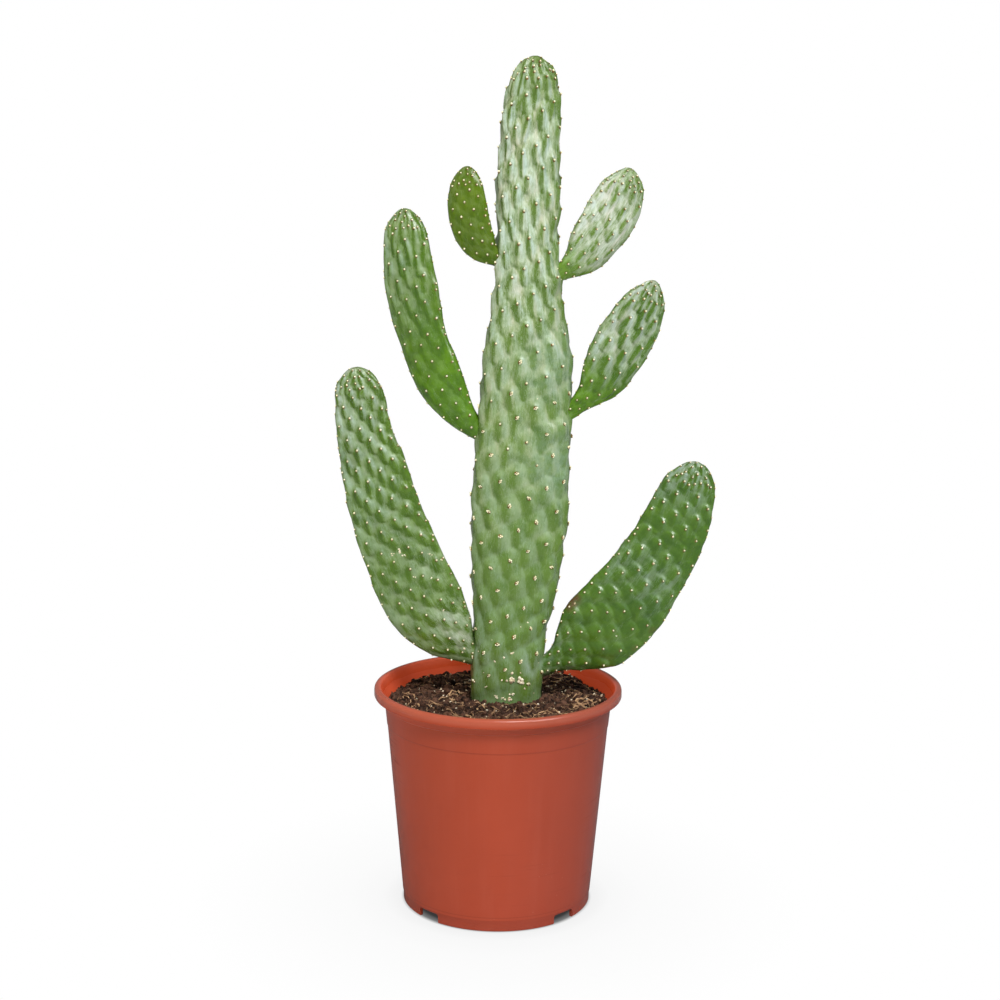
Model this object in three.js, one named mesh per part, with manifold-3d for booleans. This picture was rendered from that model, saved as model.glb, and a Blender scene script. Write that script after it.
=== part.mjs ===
// A paddle cactus in a plastic nursery pot. A tall flattened trunk stands in potting
// soil and carries three narrow pads on each side. Every stem is covered with raised
// tubercles, and each tubercle ends in a small felt cushion, the areole.
// Millimetres, +Z up, the broad faces of the stems toward -Y.

import * as THREE from 'three';
import { ConvexHull } from 'three/addons/math/ConvexHull.js';
import { mergeVertices } from 'three/addons/utils/BufferGeometryUtils.js';
import Module from 'manifold-3d';

const wasm = await Module();
wasm.setup();

// The pot, measured from the plane that it stands on.
const POT_HEIGHT = 190.5;
const RIM_RADIUS = 106.2;
const RIM_INNER_RADIUS = 100.2;
const LIP_HEIGHT = 8.5;
const NECK_RADIUS = 98.6;
const NECK_BOTTOM = 175;
const STEP_RADIUS = 95.4;
const STEP_HEIGHT = 158;
const BASE_RADIUS = 81.8;
const FOOT_RADIUS = 81.1;
const FOOT_HEIGHT = 8.8;
const FOOT_WIDTH = 3.4;
const WALL = 2;
const FLOOR = 2.6;
const SLOT_WIDTH = 22.6;
const SLOT_HEIGHT = 8;
const SLOT_CORNER = 2.5;
const DRAIN_RADIUS = 5;
const DRAIN_CIRCLE = 58;
const DRAIN_COUNT = 8;
const POT_SIDES = 56;

// The soil, and the plain pocket in it that the foot of the trunk stands in. The trunk
// leans by POCKET_LEAN to each side of the pocket's middle.
const SOIL_LEVEL = 173.5;
const SOIL_MOUND = 5.5;
const SOIL_RINGS = 9;
const POCKET_FLOOR = 125.4;
const CLEARANCE = 0.35;
const POCKET_LEAN = 0.4;

// The stems. The section is an ellipse a little fuller than a true one.
const FULLNESS = 2.25;
const AREOLE_RADIUS = 1.5;
const AREOLE_HEIGHT = 1.1;
const CLOSEST_AREOLES = 4.3;

// Each stem follows a cubic curve, and its stations give [place along the curve, half
// width, half thickness, shift to the right of the curve]. turn is how far the broad face is turned about the curve, in
// degrees. tip is the part of the length that closes in a round end. advance is the
// height of one areole above the last and spiral the share of a turn between them.
// relief is the depth of the valleys, and rib how far the tubercles run down the stem.
// bare is the foot of the trunk without areoles, and above it the relief grows slowly.
const STEMS = {
  trunk: {
    curve: [[5.5, 0, 126], [5.5, 0, 260], [27, 0, 430], [25, 0, 716.5]],
    stations: [
      [0, 32, 24, 0], [0.09, 32, 24, 0], [0.13, 32.2, 24, 0.2], [0.19, 32.2, 23.5, 0.9],
      [0.249, 36.6, 23, 1.9], [0.308, 40, 22.5, 2.3], [0.366, 42, 22, 2.4], [0.425, 41, 21.5, 1.1],
      [0.483, 40.6, 21, 1.6], [0.539, 39.4, 20.5, 1.5], [0.596, 37.4, 19.5, 1.2], [0.652, 31.6, 18, -1.1],
      [0.708, 28, 17, -1.8], [0.764, 27, 16.5, -3], [0.818, 28, 16.3, -3.7], [0.872, 26, 16, -2.8],
      [0.926, 25, 15.2, -2], [0.97, 20.2, 14, 0], [1, 17.8, 12, 0.5],
    ],
    turn: 4, tip: 0.04, advance: 1.8, spiral: 0.2688, start: 0.31, relief: 3.4, rib: 1.15,
    bare: 0.1, soft: 0.09,
  },
  pad_left_low: {
    curve: [[-12, 0, 214], [-58, -3, 226], [-104, -9, 331], [-120, -15, 464]],
    stations: [
      [0, 9, 9, 0], [0.035, 10, 9, 0], [0.08, 16, 9.2, 0], [0.129, 25, 9.6, -0.6],
      [0.226, 33.4, 10, -1.4], [0.323, 34.6, 10, -1.2], [0.42, 33.6, 9.8, 0], [0.516, 31.8, 9.6, -0.5],
      [0.613, 30.4, 9.4, -0.4], [0.71, 28, 9, -0.5], [0.806, 24.4, 8.6, -1.4], [0.903, 21.6, 8, 0],
      [1, 18.4, 6.5, 0],
    ],
    turn: -7, tip: 0.08, advance: 1.42, spiral: 0.42, start: 0.11, relief: 2.5, rib: 0.95,
  },
  pad_left_mid: {
    curve: [[-10, 0, 404], [-56, 3, 431], [-79.2, 8, 511], [-81, 12, 593.6]],
    stations: [
      [0, 7, 7.5], [0.05, 7.8, 7.5], [0.18, 16.2, 8.2], [0.267, 21, 8.8], [0.35, 22.2, 9],
      [0.44, 21.8, 9], [0.52, 22.8, 9], [0.6, 24, 9], [0.686, 24.6, 8.8], [0.76, 23, 8.6],
      [0.84, 22, 8.2], [0.914, 19, 7.6], [1, 14.6, 6.2],
    ],
    turn: -24, tip: 0.1, advance: 1.9, spiral: 0.618, start: 0.47, relief: 2.6, rib: 1.25,
  },
  pad_left_top: {
    curve: [[4, 0, 549], [-25, -3, 566], [-28.5, -6, 584], [-28.3, -8, 628]],
    stations: [
      [0, 5.5, 6, 0], [0.1, 7, 6, -1], [0.17, 9.8, 6.4, -2], [0.29, 15.4, 7, -2], [0.38, 17.2, 7.2, -2],
      [0.47, 17.8, 7.4, -2], [0.64, 17.7, 7.4, -1.8], [0.8, 15.2, 7, -1], [0.9, 13, 6.5, -0.2],
      [1, 10.8, 5.6, 0.2],
    ],
    turn: -26, tip: 0.2, advance: 1.32, spiral: 0.382, start: 0.2, relief: 1.3, rib: 0.9,
  },
  pad_right_low: {
    curve: [[33, 0, 203], [90, -4, 235], [145.5, -12, 290], [165.6, -19, 388.6]],
    stations: [
      [0, 8, 9, 0], [0.046, 9, 9, 0], [0.094, 12.4, 9.2, 0], [0.141, 21, 9.6, 0], [0.237, 34.4, 10, 0.6],
      [0.332, 37.4, 10, 0.2], [0.427, 36.6, 10, -0.7], [0.523, 33.8, 9.8, -1.6], [0.618, 32.2, 9.4, -1.8],
      [0.713, 30.2, 9, -1.6], [0.809, 28.4, 8.6, -2], [0.905, 23.4, 7.8, -2.8], [1, 18.4, 6.4, -2.2],
    ],
    turn: 5, tip: 0.1, advance: 1.52, spiral: 0.58, start: 0.63, relief: 2.7, rib: 0.95,
  },
  pad_right_mid: {
    curve: [[54, 0, 425], [90, -3, 453.5], [110, -6, 485], [124.8, -7, 537.4]],
    stations: [
      [0, 7.4, 6.5, 0], [0.08, 8, 6.5, 0.8], [0.174, 12, 7, 1], [0.265, 19, 7.8, 0], [0.357, 23.2, 8.4, -1.4],
      [0.449, 25.2, 8.8, -2.7], [0.54, 26.2, 8.8, -3.2], [0.632, 26.2, 8.6, -3.2], [0.724, 24.4, 8.2, -2.2],
      [0.816, 21.2, 7.6, -1.6], [0.91, 17.2, 6.8, 0], [1, 12.8, 5.8, 0.8],
    ],
    turn: 22, tip: 0.16, advance: 1.85, spiral: 0.618, start: 0.05, relief: 2.3, rib: 1.1,
  },
  pad_right_top: {
    curve: [[42, 0, 539], [74, 3, 560], [92, 7, 577], [104.2, 10, 628]],
    stations: [
      [0, 7, 6, 0], [0.09, 8.6, 6, 1.4], [0.18, 13.2, 6.6, 1.4], [0.27, 19, 7.4, 0], [0.36, 22.4, 8, -1.2],
      [0.454, 23.8, 8.2, -1.8], [0.545, 24.4, 8.2, -1.2], [0.636, 24.6, 8, -1.1], [0.727, 24.2, 7.6, -0.3],
      [0.818, 21.6, 7.2, -0.5], [0.91, 17.8, 6.6, 0.5], [1, 12.6, 5.6, 0.8],
    ],
    turn: 26, tip: 0.17, advance: 1.72, spiral: 0.382, start: 0.83, relief: 2, rib: 1.05,
  },
};

// A smooth line through the stations of one column, with the slope at each station
// taken from its two neighbours.
function along(stations, column, place) {
  const last = stations.length - 1;
  let i = 0;
  while (i < last - 1 && stations[i + 1][0] < place) {
    i += 1;
  }
  const value = (station) => station[column] ?? 0;
  const slope = (k) => {
    const before = stations[Math.max(0, k - 1)];
    const after = stations[Math.min(last, k + 1)];
    return (value(after) - value(before)) / (after[0] - before[0]);
  };
  const gap = stations[i + 1][0] - stations[i][0];
  const t = THREE.MathUtils.clamp((place - stations[i][0]) / gap, 0, 1);
  const a = value(stations[i]);
  const b = value(stations[i + 1]);
  const rise = slope(i) * gap;
  const fall = slope(i + 1) * gap;
  return a + t * rise + t * t * (3 * (b - a) - 2 * rise - fall)
    + t * t * t * (2 * (a - b) + rise + fall);
}

// The round end multiplies the width and the thickness by a quarter ellipse.
function endFactor(stem, place) {
  const left = (1 - place) / stem.tip;
  return left >= 1 ? 1 : Math.sqrt(Math.max(0, 1 - (1 - left) ** 2));
}

// Points around one section at equal distances along its girth, u from 0 to 1.
const SECTION_STEPS = 96;

function section(halfWidth, halfThickness) {
  const power = 2 / FULLNESS;
  const points = [];
  const length = [0];
  for (let i = 0; i <= SECTION_STEPS; i += 1) {
    const angle = (i / SECTION_STEPS) * 2 * Math.PI;
    const c = Math.cos(angle);
    const s = Math.sin(angle);
    points.push([
      halfWidth * Math.sign(c) * Math.abs(c) ** power,
      halfThickness * Math.sign(s) * Math.abs(s) ** power,
    ]);
    if (i > 0) {
      const [x, y] = points[i];
      const [px, py] = points[i - 1];
      length.push(length[i - 1] + Math.hypot(x - px, y - py));
    }
  }
  const girth = length[SECTION_STEPS];
  const at = (u) => {
    const want = (u - Math.floor(u)) * girth;
    let i = 0;
    while (i < SECTION_STEPS - 1 && length[i + 1] < want) {
      i += 1;
    }
    const t = (want - length[i]) / (length[i + 1] - length[i]);
    return [
      THREE.MathUtils.lerp(points[i][0], points[i + 1][0], t),
      THREE.MathUtils.lerp(points[i][1], points[i + 1][1], t),
    ];
  };
  return { girth, at };
}

// One stem's smooth skin as a function of the place along it and around it. rise runs
// along the stem in units of the local girth, so that equal steps of u and rise are
// equal lengths on the skin.
function makeSkin(stem) {
  const [a, b, c, d] = stem.curve.map((p) => new THREE.Vector3(...p));
  const curve = new THREE.CubicBezierCurve3(a, b, c, d);
  curve.arcLengthDivisions = 400;
  const length = curve.getLength();
  const turn = THREE.MathUtils.degToRad(stem.turn);
  const sectionAt = (place) => {
    const end = endFactor(stem, place);
    return section(
      Math.max(0.02, along(stem.stations, 1, place) * end),
      Math.max(0.02, along(stem.stations, 2, place) * end),
    );
  };
  const point = (place, u) => {
    const held = THREE.MathUtils.clamp(place, 0, 1);
    const centre = curve.getPointAt(held);
    const forward = curve.getTangentAt(held);
    const side = new THREE.Vector3(0, 1, 0).cross(forward).normalize();
    const back = new THREE.Vector3().crossVectors(forward, side);
    const [x, y] = sectionAt(held).at(u);
    const shift = along(stem.stations, 3, held);
    const across = shift + x * Math.cos(turn) - y * Math.sin(turn);
    const deep = x * Math.sin(turn) + y * Math.cos(turn);
    return centre.addScaledVector(side, across).addScaledVector(back, deep);
  };
  const normal = (place, u) => {
    const e = 0.002;
    const low = Math.max(0.0005, place - e);
    const high = Math.min(0.9995, place + e);
    const around = point(place, u + e).sub(point(place, u - e));
    const up = point(high, u).sub(point(low, u));
    return around.cross(up).normalize();
  };
  const steps = 600;
  const rises = [0];
  const girths = [sectionAt(0).girth];
  for (let i = 1; i <= steps; i += 1) {
    girths.push(sectionAt(Math.min(i / steps, 0.9998)).girth);
    rises.push(rises[i - 1] + (2 * length) / steps / (girths[i] + girths[i - 1]));
  }
  const look = (list, place) => {
    const i = Math.min(steps - 1, Math.floor(place * steps));
    return THREE.MathUtils.lerp(list[i], list[i + 1], place * steps - i);
  };
  const placeOf = (rise) => {
    let i = 0;
    while (i < steps - 1 && rises[i + 1] < rise) {
      i += 1;
    }
    return (i + (rise - rises[i]) / (rises[i + 1] - rises[i])) / steps;
  };
  return {
    point, normal, placeOf,
    middle: (place) => curve.getPointAt(place),
    forward: (place) => curve.getTangentAt(place),
    girthAt: (place) => look(girths, place),
    riseAt: (place) => look(rises, place),
    widest: () => Math.max(...girths),
  };
}

// A repeatable scatter between -1 and 1.
function scatter(k, kind) {
  const value = Math.sin(k * 12.9898 + kind * 78.233) * 43758.5453;
  return 2 * (value - Math.floor(value)) - 1;
}

// The areoles climb in one spiral, each the same distance above the last, and near the
// narrow ends the distance shrinks with the girth. Every areole is moved a little off
// the spiral. cell is the width of the skin that belongs to it, as a part of the girth.
function placeAreoles(stem, skin) {
  const widest = skin.widest();
  const list = [];
  let rise = skin.riseAt(stem.bare ?? 0.02) + 0.05;
  for (let k = 0; k < 900; k += 1) {
    const girth = skin.girthAt(skin.placeOf(rise));
    const step = stem.advance / Math.max(girth, 0.6 * widest);
    const cell = Math.sqrt(step);
    const place = skin.placeOf(rise);
    if (place > 0.99 || cell * girth < CLOSEST_AREOLES) {
      break;
    }
    const u = stem.start + k * stem.spiral + 0.08 * cell * scatter(k, 2);
    const height = rise + 0.08 * cell * scatter(k, 1);
    list.push({ u: u - Math.floor(u), rise: height, place: skin.placeOf(height), cell });
    rise += step;
  }
  return list;
}

// How far the skin lies below the summits at (u, rise). Each tubercle is a rounded hump
// whose summit sits above its middle, and the highest hump at a place wins.
function valleyDepth(stem, skin, areoles, u, rise, place) {
  let hump = 0;
  let width = 0;
  for (const areole of areoles) {
    const { cell } = areole;
    const dy = (rise - areole.rise) / cell;
    if (Math.abs(dy) > 2) {
      continue;
    }
    const turn = u - areole.u;
    const dx = (turn - Math.round(turn)) / cell;
    const reach = dy > 0 ? 0.62 : 0.62 + 0.35 * stem.rib;
    hump = Math.max(hump, 1 - (dx / 0.68) ** 2 - (dy / reach) ** 2);
    width = Math.max(width, cell);
  }
  const fade = stem.soft
    ? 0.3 + 0.7 * THREE.MathUtils.smoothstep(place, stem.bare, stem.bare + stem.soft)
    : 1;
  const size = Math.min(1, (width * skin.girthAt(place)) / 14);
  return stem.relief * fade * size * (1 - hump);
}

// Closes a strip that is periodic in u: the lowest faces of the lifted points are the
// triangles that join nearest neighbours.
function joinNeighbours(points) {
  const lifted = [];
  for (const shift of [-1, 0, 1]) {
    points.forEach(({ u, rise }, index) => {
      const x = u + shift;
      const vertex = new THREE.Vector3(x, rise, x * x + rise * rise);
      vertex.index = index;
      lifted.push(vertex);
    });
  }
  const seen = new Set();
  const triangles = [];
  for (const face of new ConvexHull().setFromPoints(lifted).faces) {
    if (face.normal.z >= -1e-9) {
      continue;
    }
    const corners = [face.edge, face.edge.next, face.edge.prev].map((e) => e.head().point);
    const middle = (corners[0].x + corners[1].x + corners[2].x) / 3;
    if (middle < -0.25 || middle > 1.25) {
      continue;
    }
    const [p, q, r] = corners;
    const area = (q.x - p.x) * (r.y - p.y) - (q.y - p.y) * (r.x - p.x);
    const ids = area > 0 ? [p.index, q.index, r.index] : [p.index, r.index, q.index];
    const key = [...ids].sort((m, n) => m - n).join();
    if (!seen.has(key)) {
      seen.add(key);
      triangles.push(ids);
    }
  }
  return triangles;
}

// The faceted stem: a knob of four points on every summit, one point in the middle of
// every three neighbouring areoles, plain rings where there are no areoles, and one
// point at each end.
function makeStem(stem, grow = 0) {
  const skin = makeSkin(stem);
  const areoles = placeAreoles(stem, skin);
  const points = [];
  const addRing = (place, count, shift) => Array.from({ length: count }, (_, i) => {
    points.push({ u: (i + shift) / count, rise: skin.riseAt(place), place, height: 0 });
    return points.length - 1;
  });
  const bottomRing = addRing(0, stem.bare ? 28 : 12, 0.3);
  if (stem.bare) {
    addRing(0.5 * stem.bare, 28, 0.8);
    addRing(stem.bare - 0.006, 28, 0.3);
  }
  const last = areoles.at(-1).place;
  const topRing = addRing(Math.min(0.996, last + 0.45 * (1 - last)), 9, 0.3);
  const ringPoints = points.length;
  const coarse = [...points, ...areoles];
  for (const corners of joinNeighbours(coarse)) {
    if (Math.min(...corners) >= ringPoints) {
      const [p, q, r] = corners.map((i) => coarse[i]);
      const near = (other) => other.u - Math.round(other.u - p.u);
      const u = (p.u + near(q) + near(r)) / 3;
      const rise = (p.rise + q.rise + r.rise) / 3 - 0.08 * p.cell;
      const place = skin.placeOf(rise);
      const depth = valleyDepth(stem, skin, areoles, u, rise, place);
      points.push({ u: u - Math.floor(u), rise, place, height: -depth });
    }
  }
  areoles.forEach((areole, k) => {
    const girth = skin.girthAt(areole.place);
    const wide = Math.min(AREOLE_RADIUS / girth, 0.2 * areole.cell);
    points.push({ ...areole, height: AREOLE_HEIGHT });
    for (let corner = 0; corner < 3; corner += 1) {
      const angle = (corner / 3 + 0.37 * k) * 2 * Math.PI;
      const u = areole.u + wide * Math.cos(angle);
      const rise = areole.rise + wide * Math.sin(angle);
      points.push({ u: u - Math.floor(u), rise, place: skin.placeOf(rise), height: 0.1 });
    }
  });
  const triangles = joinNeighbours(points);
  const corners = points.map(({ u, place, height }) => skin.point(place, u)
    .addScaledVector(skin.normal(place, u), height + grow));
  const close = (ring, place, out) => {
    const middle = corners.length;
    corners.push(skin.middle(place).addScaledVector(skin.forward(place), out * grow));
    ring.forEach((from, i) => {
      const to = ring[(i + 1) % ring.length];
      triangles.push(out > 0 ? [from, to, middle] : [to, from, middle]);
    });
  };
  close(bottomRing, 0, -1);
  close(topRing, 1, 1);
  const geometry = new THREE.BufferGeometry();
  geometry.setAttribute('position', new THREE.Float32BufferAttribute(
    corners.flatMap((p) => p.toArray()), 3));
  geometry.setIndex(triangles.flat());
  return geometry;
}

function toSolid(geometry) {
  const plain = geometry.clone();
  plain.deleteAttribute('normal');
  plain.deleteAttribute('uv');
  const merged = mergeVertices(plain, 1e-4);
  return new wasm.Manifold(new wasm.Mesh({
    numProp: 3,
    vertProperties: new Float32Array(merged.attributes.position.array),
    triVerts: new Uint32Array(merged.index.array),
  }));
}

function toGeometry(solid) {
  const { numProp, vertProperties, triVerts } = solid.getMesh();
  const geometry = new THREE.BufferGeometry();
  const positions = [];
  for (let i = 0; i < vertProperties.length; i += numProp) {
    positions.push(vertProperties[i], vertProperties[i + 1], vertProperties[i + 2]);
  }
  geometry.setAttribute('position', new THREE.Float32BufferAttribute(positions, 3));
  geometry.setIndex([...triVerts]);
  return geometry;
}

// A pad ends where it meets the trunk, so the trunk, a hair larger, is taken from it,
// and only the pad itself is kept.
function cutByTrunk(geometry, trunkSolid) {
  const pieces = toSolid(geometry).subtract(trunkSolid).decompose();
  pieces.sort((p, q) => q.volume() - p.volume());
  return toGeometry(pieces[0]);
}

// The pot is turned from one closed profile: the underside of the floor, the foot, the
// tapered wall with its faint step and its neck, the rolled lip and the inside.
function makePot() {
  const lipBottom = POT_HEIGHT - LIP_HEIGHT;
  const profile = [
    [0, FOOT_HEIGHT],
    [FOOT_RADIUS - FOOT_WIDTH - 1, FOOT_HEIGHT],
    [FOOT_RADIUS - FOOT_WIDTH, FOOT_HEIGHT - 1],
    [FOOT_RADIUS - FOOT_WIDTH, 0],
    [FOOT_RADIUS - 0.8, 0],
    [FOOT_RADIUS, 0.8],
    [FOOT_RADIUS, FOOT_HEIGHT - 0.4],
    [BASE_RADIUS, FOOT_HEIGHT + 0.4],
    [STEP_RADIUS - 0.5, STEP_HEIGHT - 0.5],
    [STEP_RADIUS, STEP_HEIGHT + 0.3],
    [NECK_RADIUS - 1.6, NECK_BOTTOM - 0.5],
    [NECK_RADIUS, NECK_BOTTOM + 0.8],
    [NECK_RADIUS + 0.3, lipBottom - 0.6],
    [NECK_RADIUS + 1.2, lipBottom],
    [RIM_RADIUS - 1.4, lipBottom],
    [RIM_RADIUS, lipBottom + 1.2],
    [RIM_RADIUS, POT_HEIGHT - 3],
    [RIM_RADIUS - 0.7, POT_HEIGHT - 0.9],
    [RIM_RADIUS - 2.4, POT_HEIGHT],
    [RIM_INNER_RADIUS + 1.4, POT_HEIGHT - 0.2],
    [RIM_INNER_RADIUS, POT_HEIGHT - 1.6],
    [RIM_INNER_RADIUS - 1.8, lipBottom - 1.5],
    [NECK_RADIUS - WALL - 1.4, NECK_BOTTOM - 2],
    [STEP_RADIUS - WALL, STEP_HEIGHT],
    [BASE_RADIUS - WALL + 0.2, FOOT_HEIGHT + FLOOR + 1.5],
    [BASE_RADIUS - WALL - 1.5, FOOT_HEIGHT + FLOOR],
    [0, FOOT_HEIGHT + FLOOR],
  ];
  const turned = new THREE.LatheGeometry(
    profile.map(([r, z]) => new THREE.Vector2(r, z)), POT_SIDES);
  turned.rotateX(Math.PI / 2);
  let pot = toSolid(turned);
  const half = SLOT_WIDTH / 2;
  const opening = new THREE.Shape();
  opening.moveTo(-half, -5);
  opening.lineTo(half, -5);
  opening.lineTo(half, SLOT_HEIGHT - SLOT_CORNER);
  opening.quadraticCurveTo(half, SLOT_HEIGHT, half - SLOT_CORNER, SLOT_HEIGHT);
  opening.lineTo(SLOT_CORNER - half, SLOT_HEIGHT);
  opening.quadraticCurveTo(-half, SLOT_HEIGHT, -half, SLOT_HEIGHT - SLOT_CORNER);
  for (let k = 0; k < 4; k += 1) {
    const slot = new THREE.ExtrudeGeometry(
      opening, { depth: 14, bevelEnabled: false, curveSegments: 3 });
    slot.rotateX(Math.PI / 2);
    slot.translate(0, -FOOT_RADIUS + 9, 0);
    slot.rotateZ(Math.PI / 4 + (k * Math.PI) / 2);
    pot = pot.subtract(toSolid(slot));
  }
  for (let k = 0; k < DRAIN_COUNT; k += 1) {
    const drain = new THREE.CylinderGeometry(DRAIN_RADIUS, DRAIN_RADIUS, 20, 16);
    drain.rotateX(Math.PI / 2);
    drain.translate(DRAIN_CIRCLE, 0, FOOT_HEIGHT);
    drain.rotateZ(((k + 0.5) / DRAIN_COUNT) * 2 * Math.PI);
    pot = pot.subtract(toSolid(drain));
  }
  return toGeometry(pot);
}

// The soil is one body swept around the pot's axis: the pocket's floor and wall, the
// lumpy top, the outside and the underside.
function soilHeight(x, y) {
  const [centre] = STEMS.trunk.curve;
  const away = Math.hypot(x - centre[0], y);
  return SOIL_LEVEL + SOIL_MOUND * Math.exp(-((away / 58) ** 2))
    + 1.2 * Math.sin(x / 8.7 + 1.3) * Math.cos(y / 7.9 - 0.7)
    + 0.9 * Math.sin(x / 4.9 - y / 5.6 + 2.1)
    + 0.7 * Math.cos(x / 6.1 + y / 4.3 - 0.4);
}

function makeSoil() {
  const [centre] = STEMS.trunk.curve;
  const [, halfWidth, halfThickness] = STEMS.trunk.stations[0];
  const room = CLEARANCE + POCKET_LEAN;
  const pocket = section(halfWidth + room, halfThickness + room);
  const tilt = THREE.MathUtils.degToRad(STEMS.trunk.turn);
  const wall = STEP_RADIUS - WALL - CLEARANCE;
  const bottom = BASE_RADIUS - WALL - CLEARANCE - 1.6;
  const rings = [];
  const pocketRing = (z) => Array.from({ length: POT_SIDES }, (_, i) => {
    const [x, y] = pocket.at(i / POT_SIDES);
    const px = centre[0] + POCKET_LEAN + x * Math.cos(tilt) - y * Math.sin(tilt);
    const py = x * Math.sin(tilt) + y * Math.cos(tilt);
    return [px, py, z ?? soilHeight(px, py)];
  });
  rings.push(pocketRing(POCKET_FLOOR));
  const inner = pocketRing();
  rings.push(inner);
  for (let ring = 1; ring <= SOIL_RINGS; ring += 1) {
    const share = ring / SOIL_RINGS;
    rings.push(inner.map(([x, y], i) => {
      const angle = (i / POT_SIDES) * 2 * Math.PI;
      const px = THREE.MathUtils.lerp(x, (wall + 1) * Math.cos(angle), share);
      const py = THREE.MathUtils.lerp(y, (wall + 1) * Math.sin(angle), share);
      return [px, py, soilHeight(px, py)];
    }));
  }
  for (const [r, z] of [[wall, STEP_HEIGHT], [bottom, FOOT_HEIGHT + FLOOR + CLEARANCE]]) {
    rings.push(Array.from({ length: POT_SIDES }, (_, i) => {
      const angle = (i / POT_SIDES) * 2 * Math.PI;
      return [r * Math.cos(angle), r * Math.sin(angle), z];
    }));
  }
  const positions = rings.flat(2);
  const first = positions.length / 3;
  positions.push(centre[0] + POCKET_LEAN, 0, POCKET_FLOOR);
  positions.push(0, 0, FOOT_HEIGHT + FLOOR + CLEARANCE);
  const index = [];
  for (let i = 0; i < POT_SIDES; i += 1) {
    const next = (i + 1) % POT_SIDES;
    index.push(first, i, next);
    for (let ring = 0; ring < rings.length - 1; ring += 1) {
      const a = ring * POT_SIDES + i;
      const b = ring * POT_SIDES + next;
      const c = a + POT_SIDES;
      const d = b + POT_SIDES;
      index.push(a, c, b);
      index.push(b, c, d);
    }
    const last = (rings.length - 1) * POT_SIDES;
    index.push(last + i, first + 1, last + next);
  }
  const geometry = new THREE.BufferGeometry();
  geometry.setAttribute('position', new THREE.Float32BufferAttribute(positions, 3));
  geometry.setIndex(index);
  return geometry;
}

const terracotta = { color: 0xb5523a, roughness: 0.45, metalness: 0 };
const earth = { color: 0x4a3222, roughness: 0.95, metalness: 0 };
const trunkSkin = { color: 0x7fa583, roughness: 0.6, metalness: 0 };
const padSkin = { color: 0x55803a, roughness: 0.5, metalness: 0 };

function addMesh(parent, name, geometry, look) {
  const mesh = new THREE.Mesh(geometry, new THREE.MeshStandardMaterial(look));
  mesh.name = name;
  geometry.computeVertexNormals();
  parent.add(mesh);
}

const plant = new THREE.Group();
addMesh(plant, 'pot', makePot(), terracotta);
addMesh(plant, 'soil', makeSoil(), earth);
addMesh(plant, 'trunk', makeStem(STEMS.trunk), trunkSkin);
const grownTrunk = toSolid(makeStem(STEMS.trunk, CLEARANCE));
for (const [name, stem] of Object.entries(STEMS)) {
  if (name !== 'trunk') {
    addMesh(plant, name, cutByTrunk(makeStem(stem), grownTrunk), padSkin);
  }
}

// The origin is the middle of the plane that the plant stands on.
const box = new THREE.Box3().setFromObject(plant);
const middle = box.getCenter(new THREE.Vector3());
plant.position.set(-middle.x, -middle.y, -box.min.z);

const group = new THREE.Group();
group.add(plant);

export default group;
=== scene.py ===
import math
import random

import bmesh
import bpy
import numpy as np
from mathutils import Matrix, Vector, noise


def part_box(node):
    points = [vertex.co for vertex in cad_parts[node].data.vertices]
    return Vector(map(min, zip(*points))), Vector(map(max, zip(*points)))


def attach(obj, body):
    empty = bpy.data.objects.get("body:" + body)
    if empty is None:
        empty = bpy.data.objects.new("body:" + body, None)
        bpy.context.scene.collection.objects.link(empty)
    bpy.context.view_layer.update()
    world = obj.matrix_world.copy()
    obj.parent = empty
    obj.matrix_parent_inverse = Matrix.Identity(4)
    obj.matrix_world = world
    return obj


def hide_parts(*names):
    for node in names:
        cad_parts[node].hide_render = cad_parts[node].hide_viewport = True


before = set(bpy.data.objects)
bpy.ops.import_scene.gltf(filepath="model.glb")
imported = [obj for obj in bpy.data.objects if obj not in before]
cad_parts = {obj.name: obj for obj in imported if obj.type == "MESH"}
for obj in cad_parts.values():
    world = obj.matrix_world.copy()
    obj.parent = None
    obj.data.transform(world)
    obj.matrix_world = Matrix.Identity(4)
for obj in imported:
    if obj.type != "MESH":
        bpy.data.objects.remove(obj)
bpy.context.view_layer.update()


# The pot. A nursery pot moulded in one piece of terracotta-coloured plastic: a foot ring
# with four slots, a raised floor with drainage holes, a tapered wall, a short neck and a
# lip. It carries everything else.
MM = 0.001
POT_AXIS = 0.5 * (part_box("pot")[0].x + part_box("pot")[1].x)

# The section as (radius, height), from the middle of the floor's underside round the foot
# and up to the lip, and back down the inside.
POT_PROFILE = [
    (0, 8.8), (75.4, 8.8), (77.1, 8.4), (77.7, 7.4), (77.7, 0.4), (78.1, 0), (80.4, 0),
    (81.1, 0.7), (81.1, 8.3), (81.8, 9.1), (94.9, 157.4), (95.3, 157.9), (95.4, 158.6),
    (97, 174.3), (97.5, 174.9), (98.6, 175.5), (98.7, 176.4), (98.9, 180.6), (99.2, 181.6),
    (100.2, 182), (104.8, 182), (105.8, 182.4), (106.2, 183.3), (106.2, 187.4),
    (106, 188.6), (105.4, 189.6), (104.5, 190.2), (103.4, 190.5), (101.9, 190.4),
    (100.8, 189.9), (100.2, 188.9), (99.6, 186.5), (98.8, 180.5), (95.2, 173.2),
    (94.7, 171.5), (93.4, 158), (80, 13.2), (79.4, 12), (78.2, 11.4), (0, 11.4),
]
FOOT_HEIGHT = 8.8
SLOT_SIZE = (22.6, 14, 13)
SLOT_CENTRE = (79.1, 1.5)
SLOT_CORNER = 2.6
DRAIN_COUNT = 8
DRAIN_RADIUS = 5
DRAIN_CIRCLE = 58


def keep_mesh(name, bm):
    mesh = bpy.data.meshes.new(name)
    bm.to_mesh(mesh)
    bm.free()
    return mesh


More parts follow.
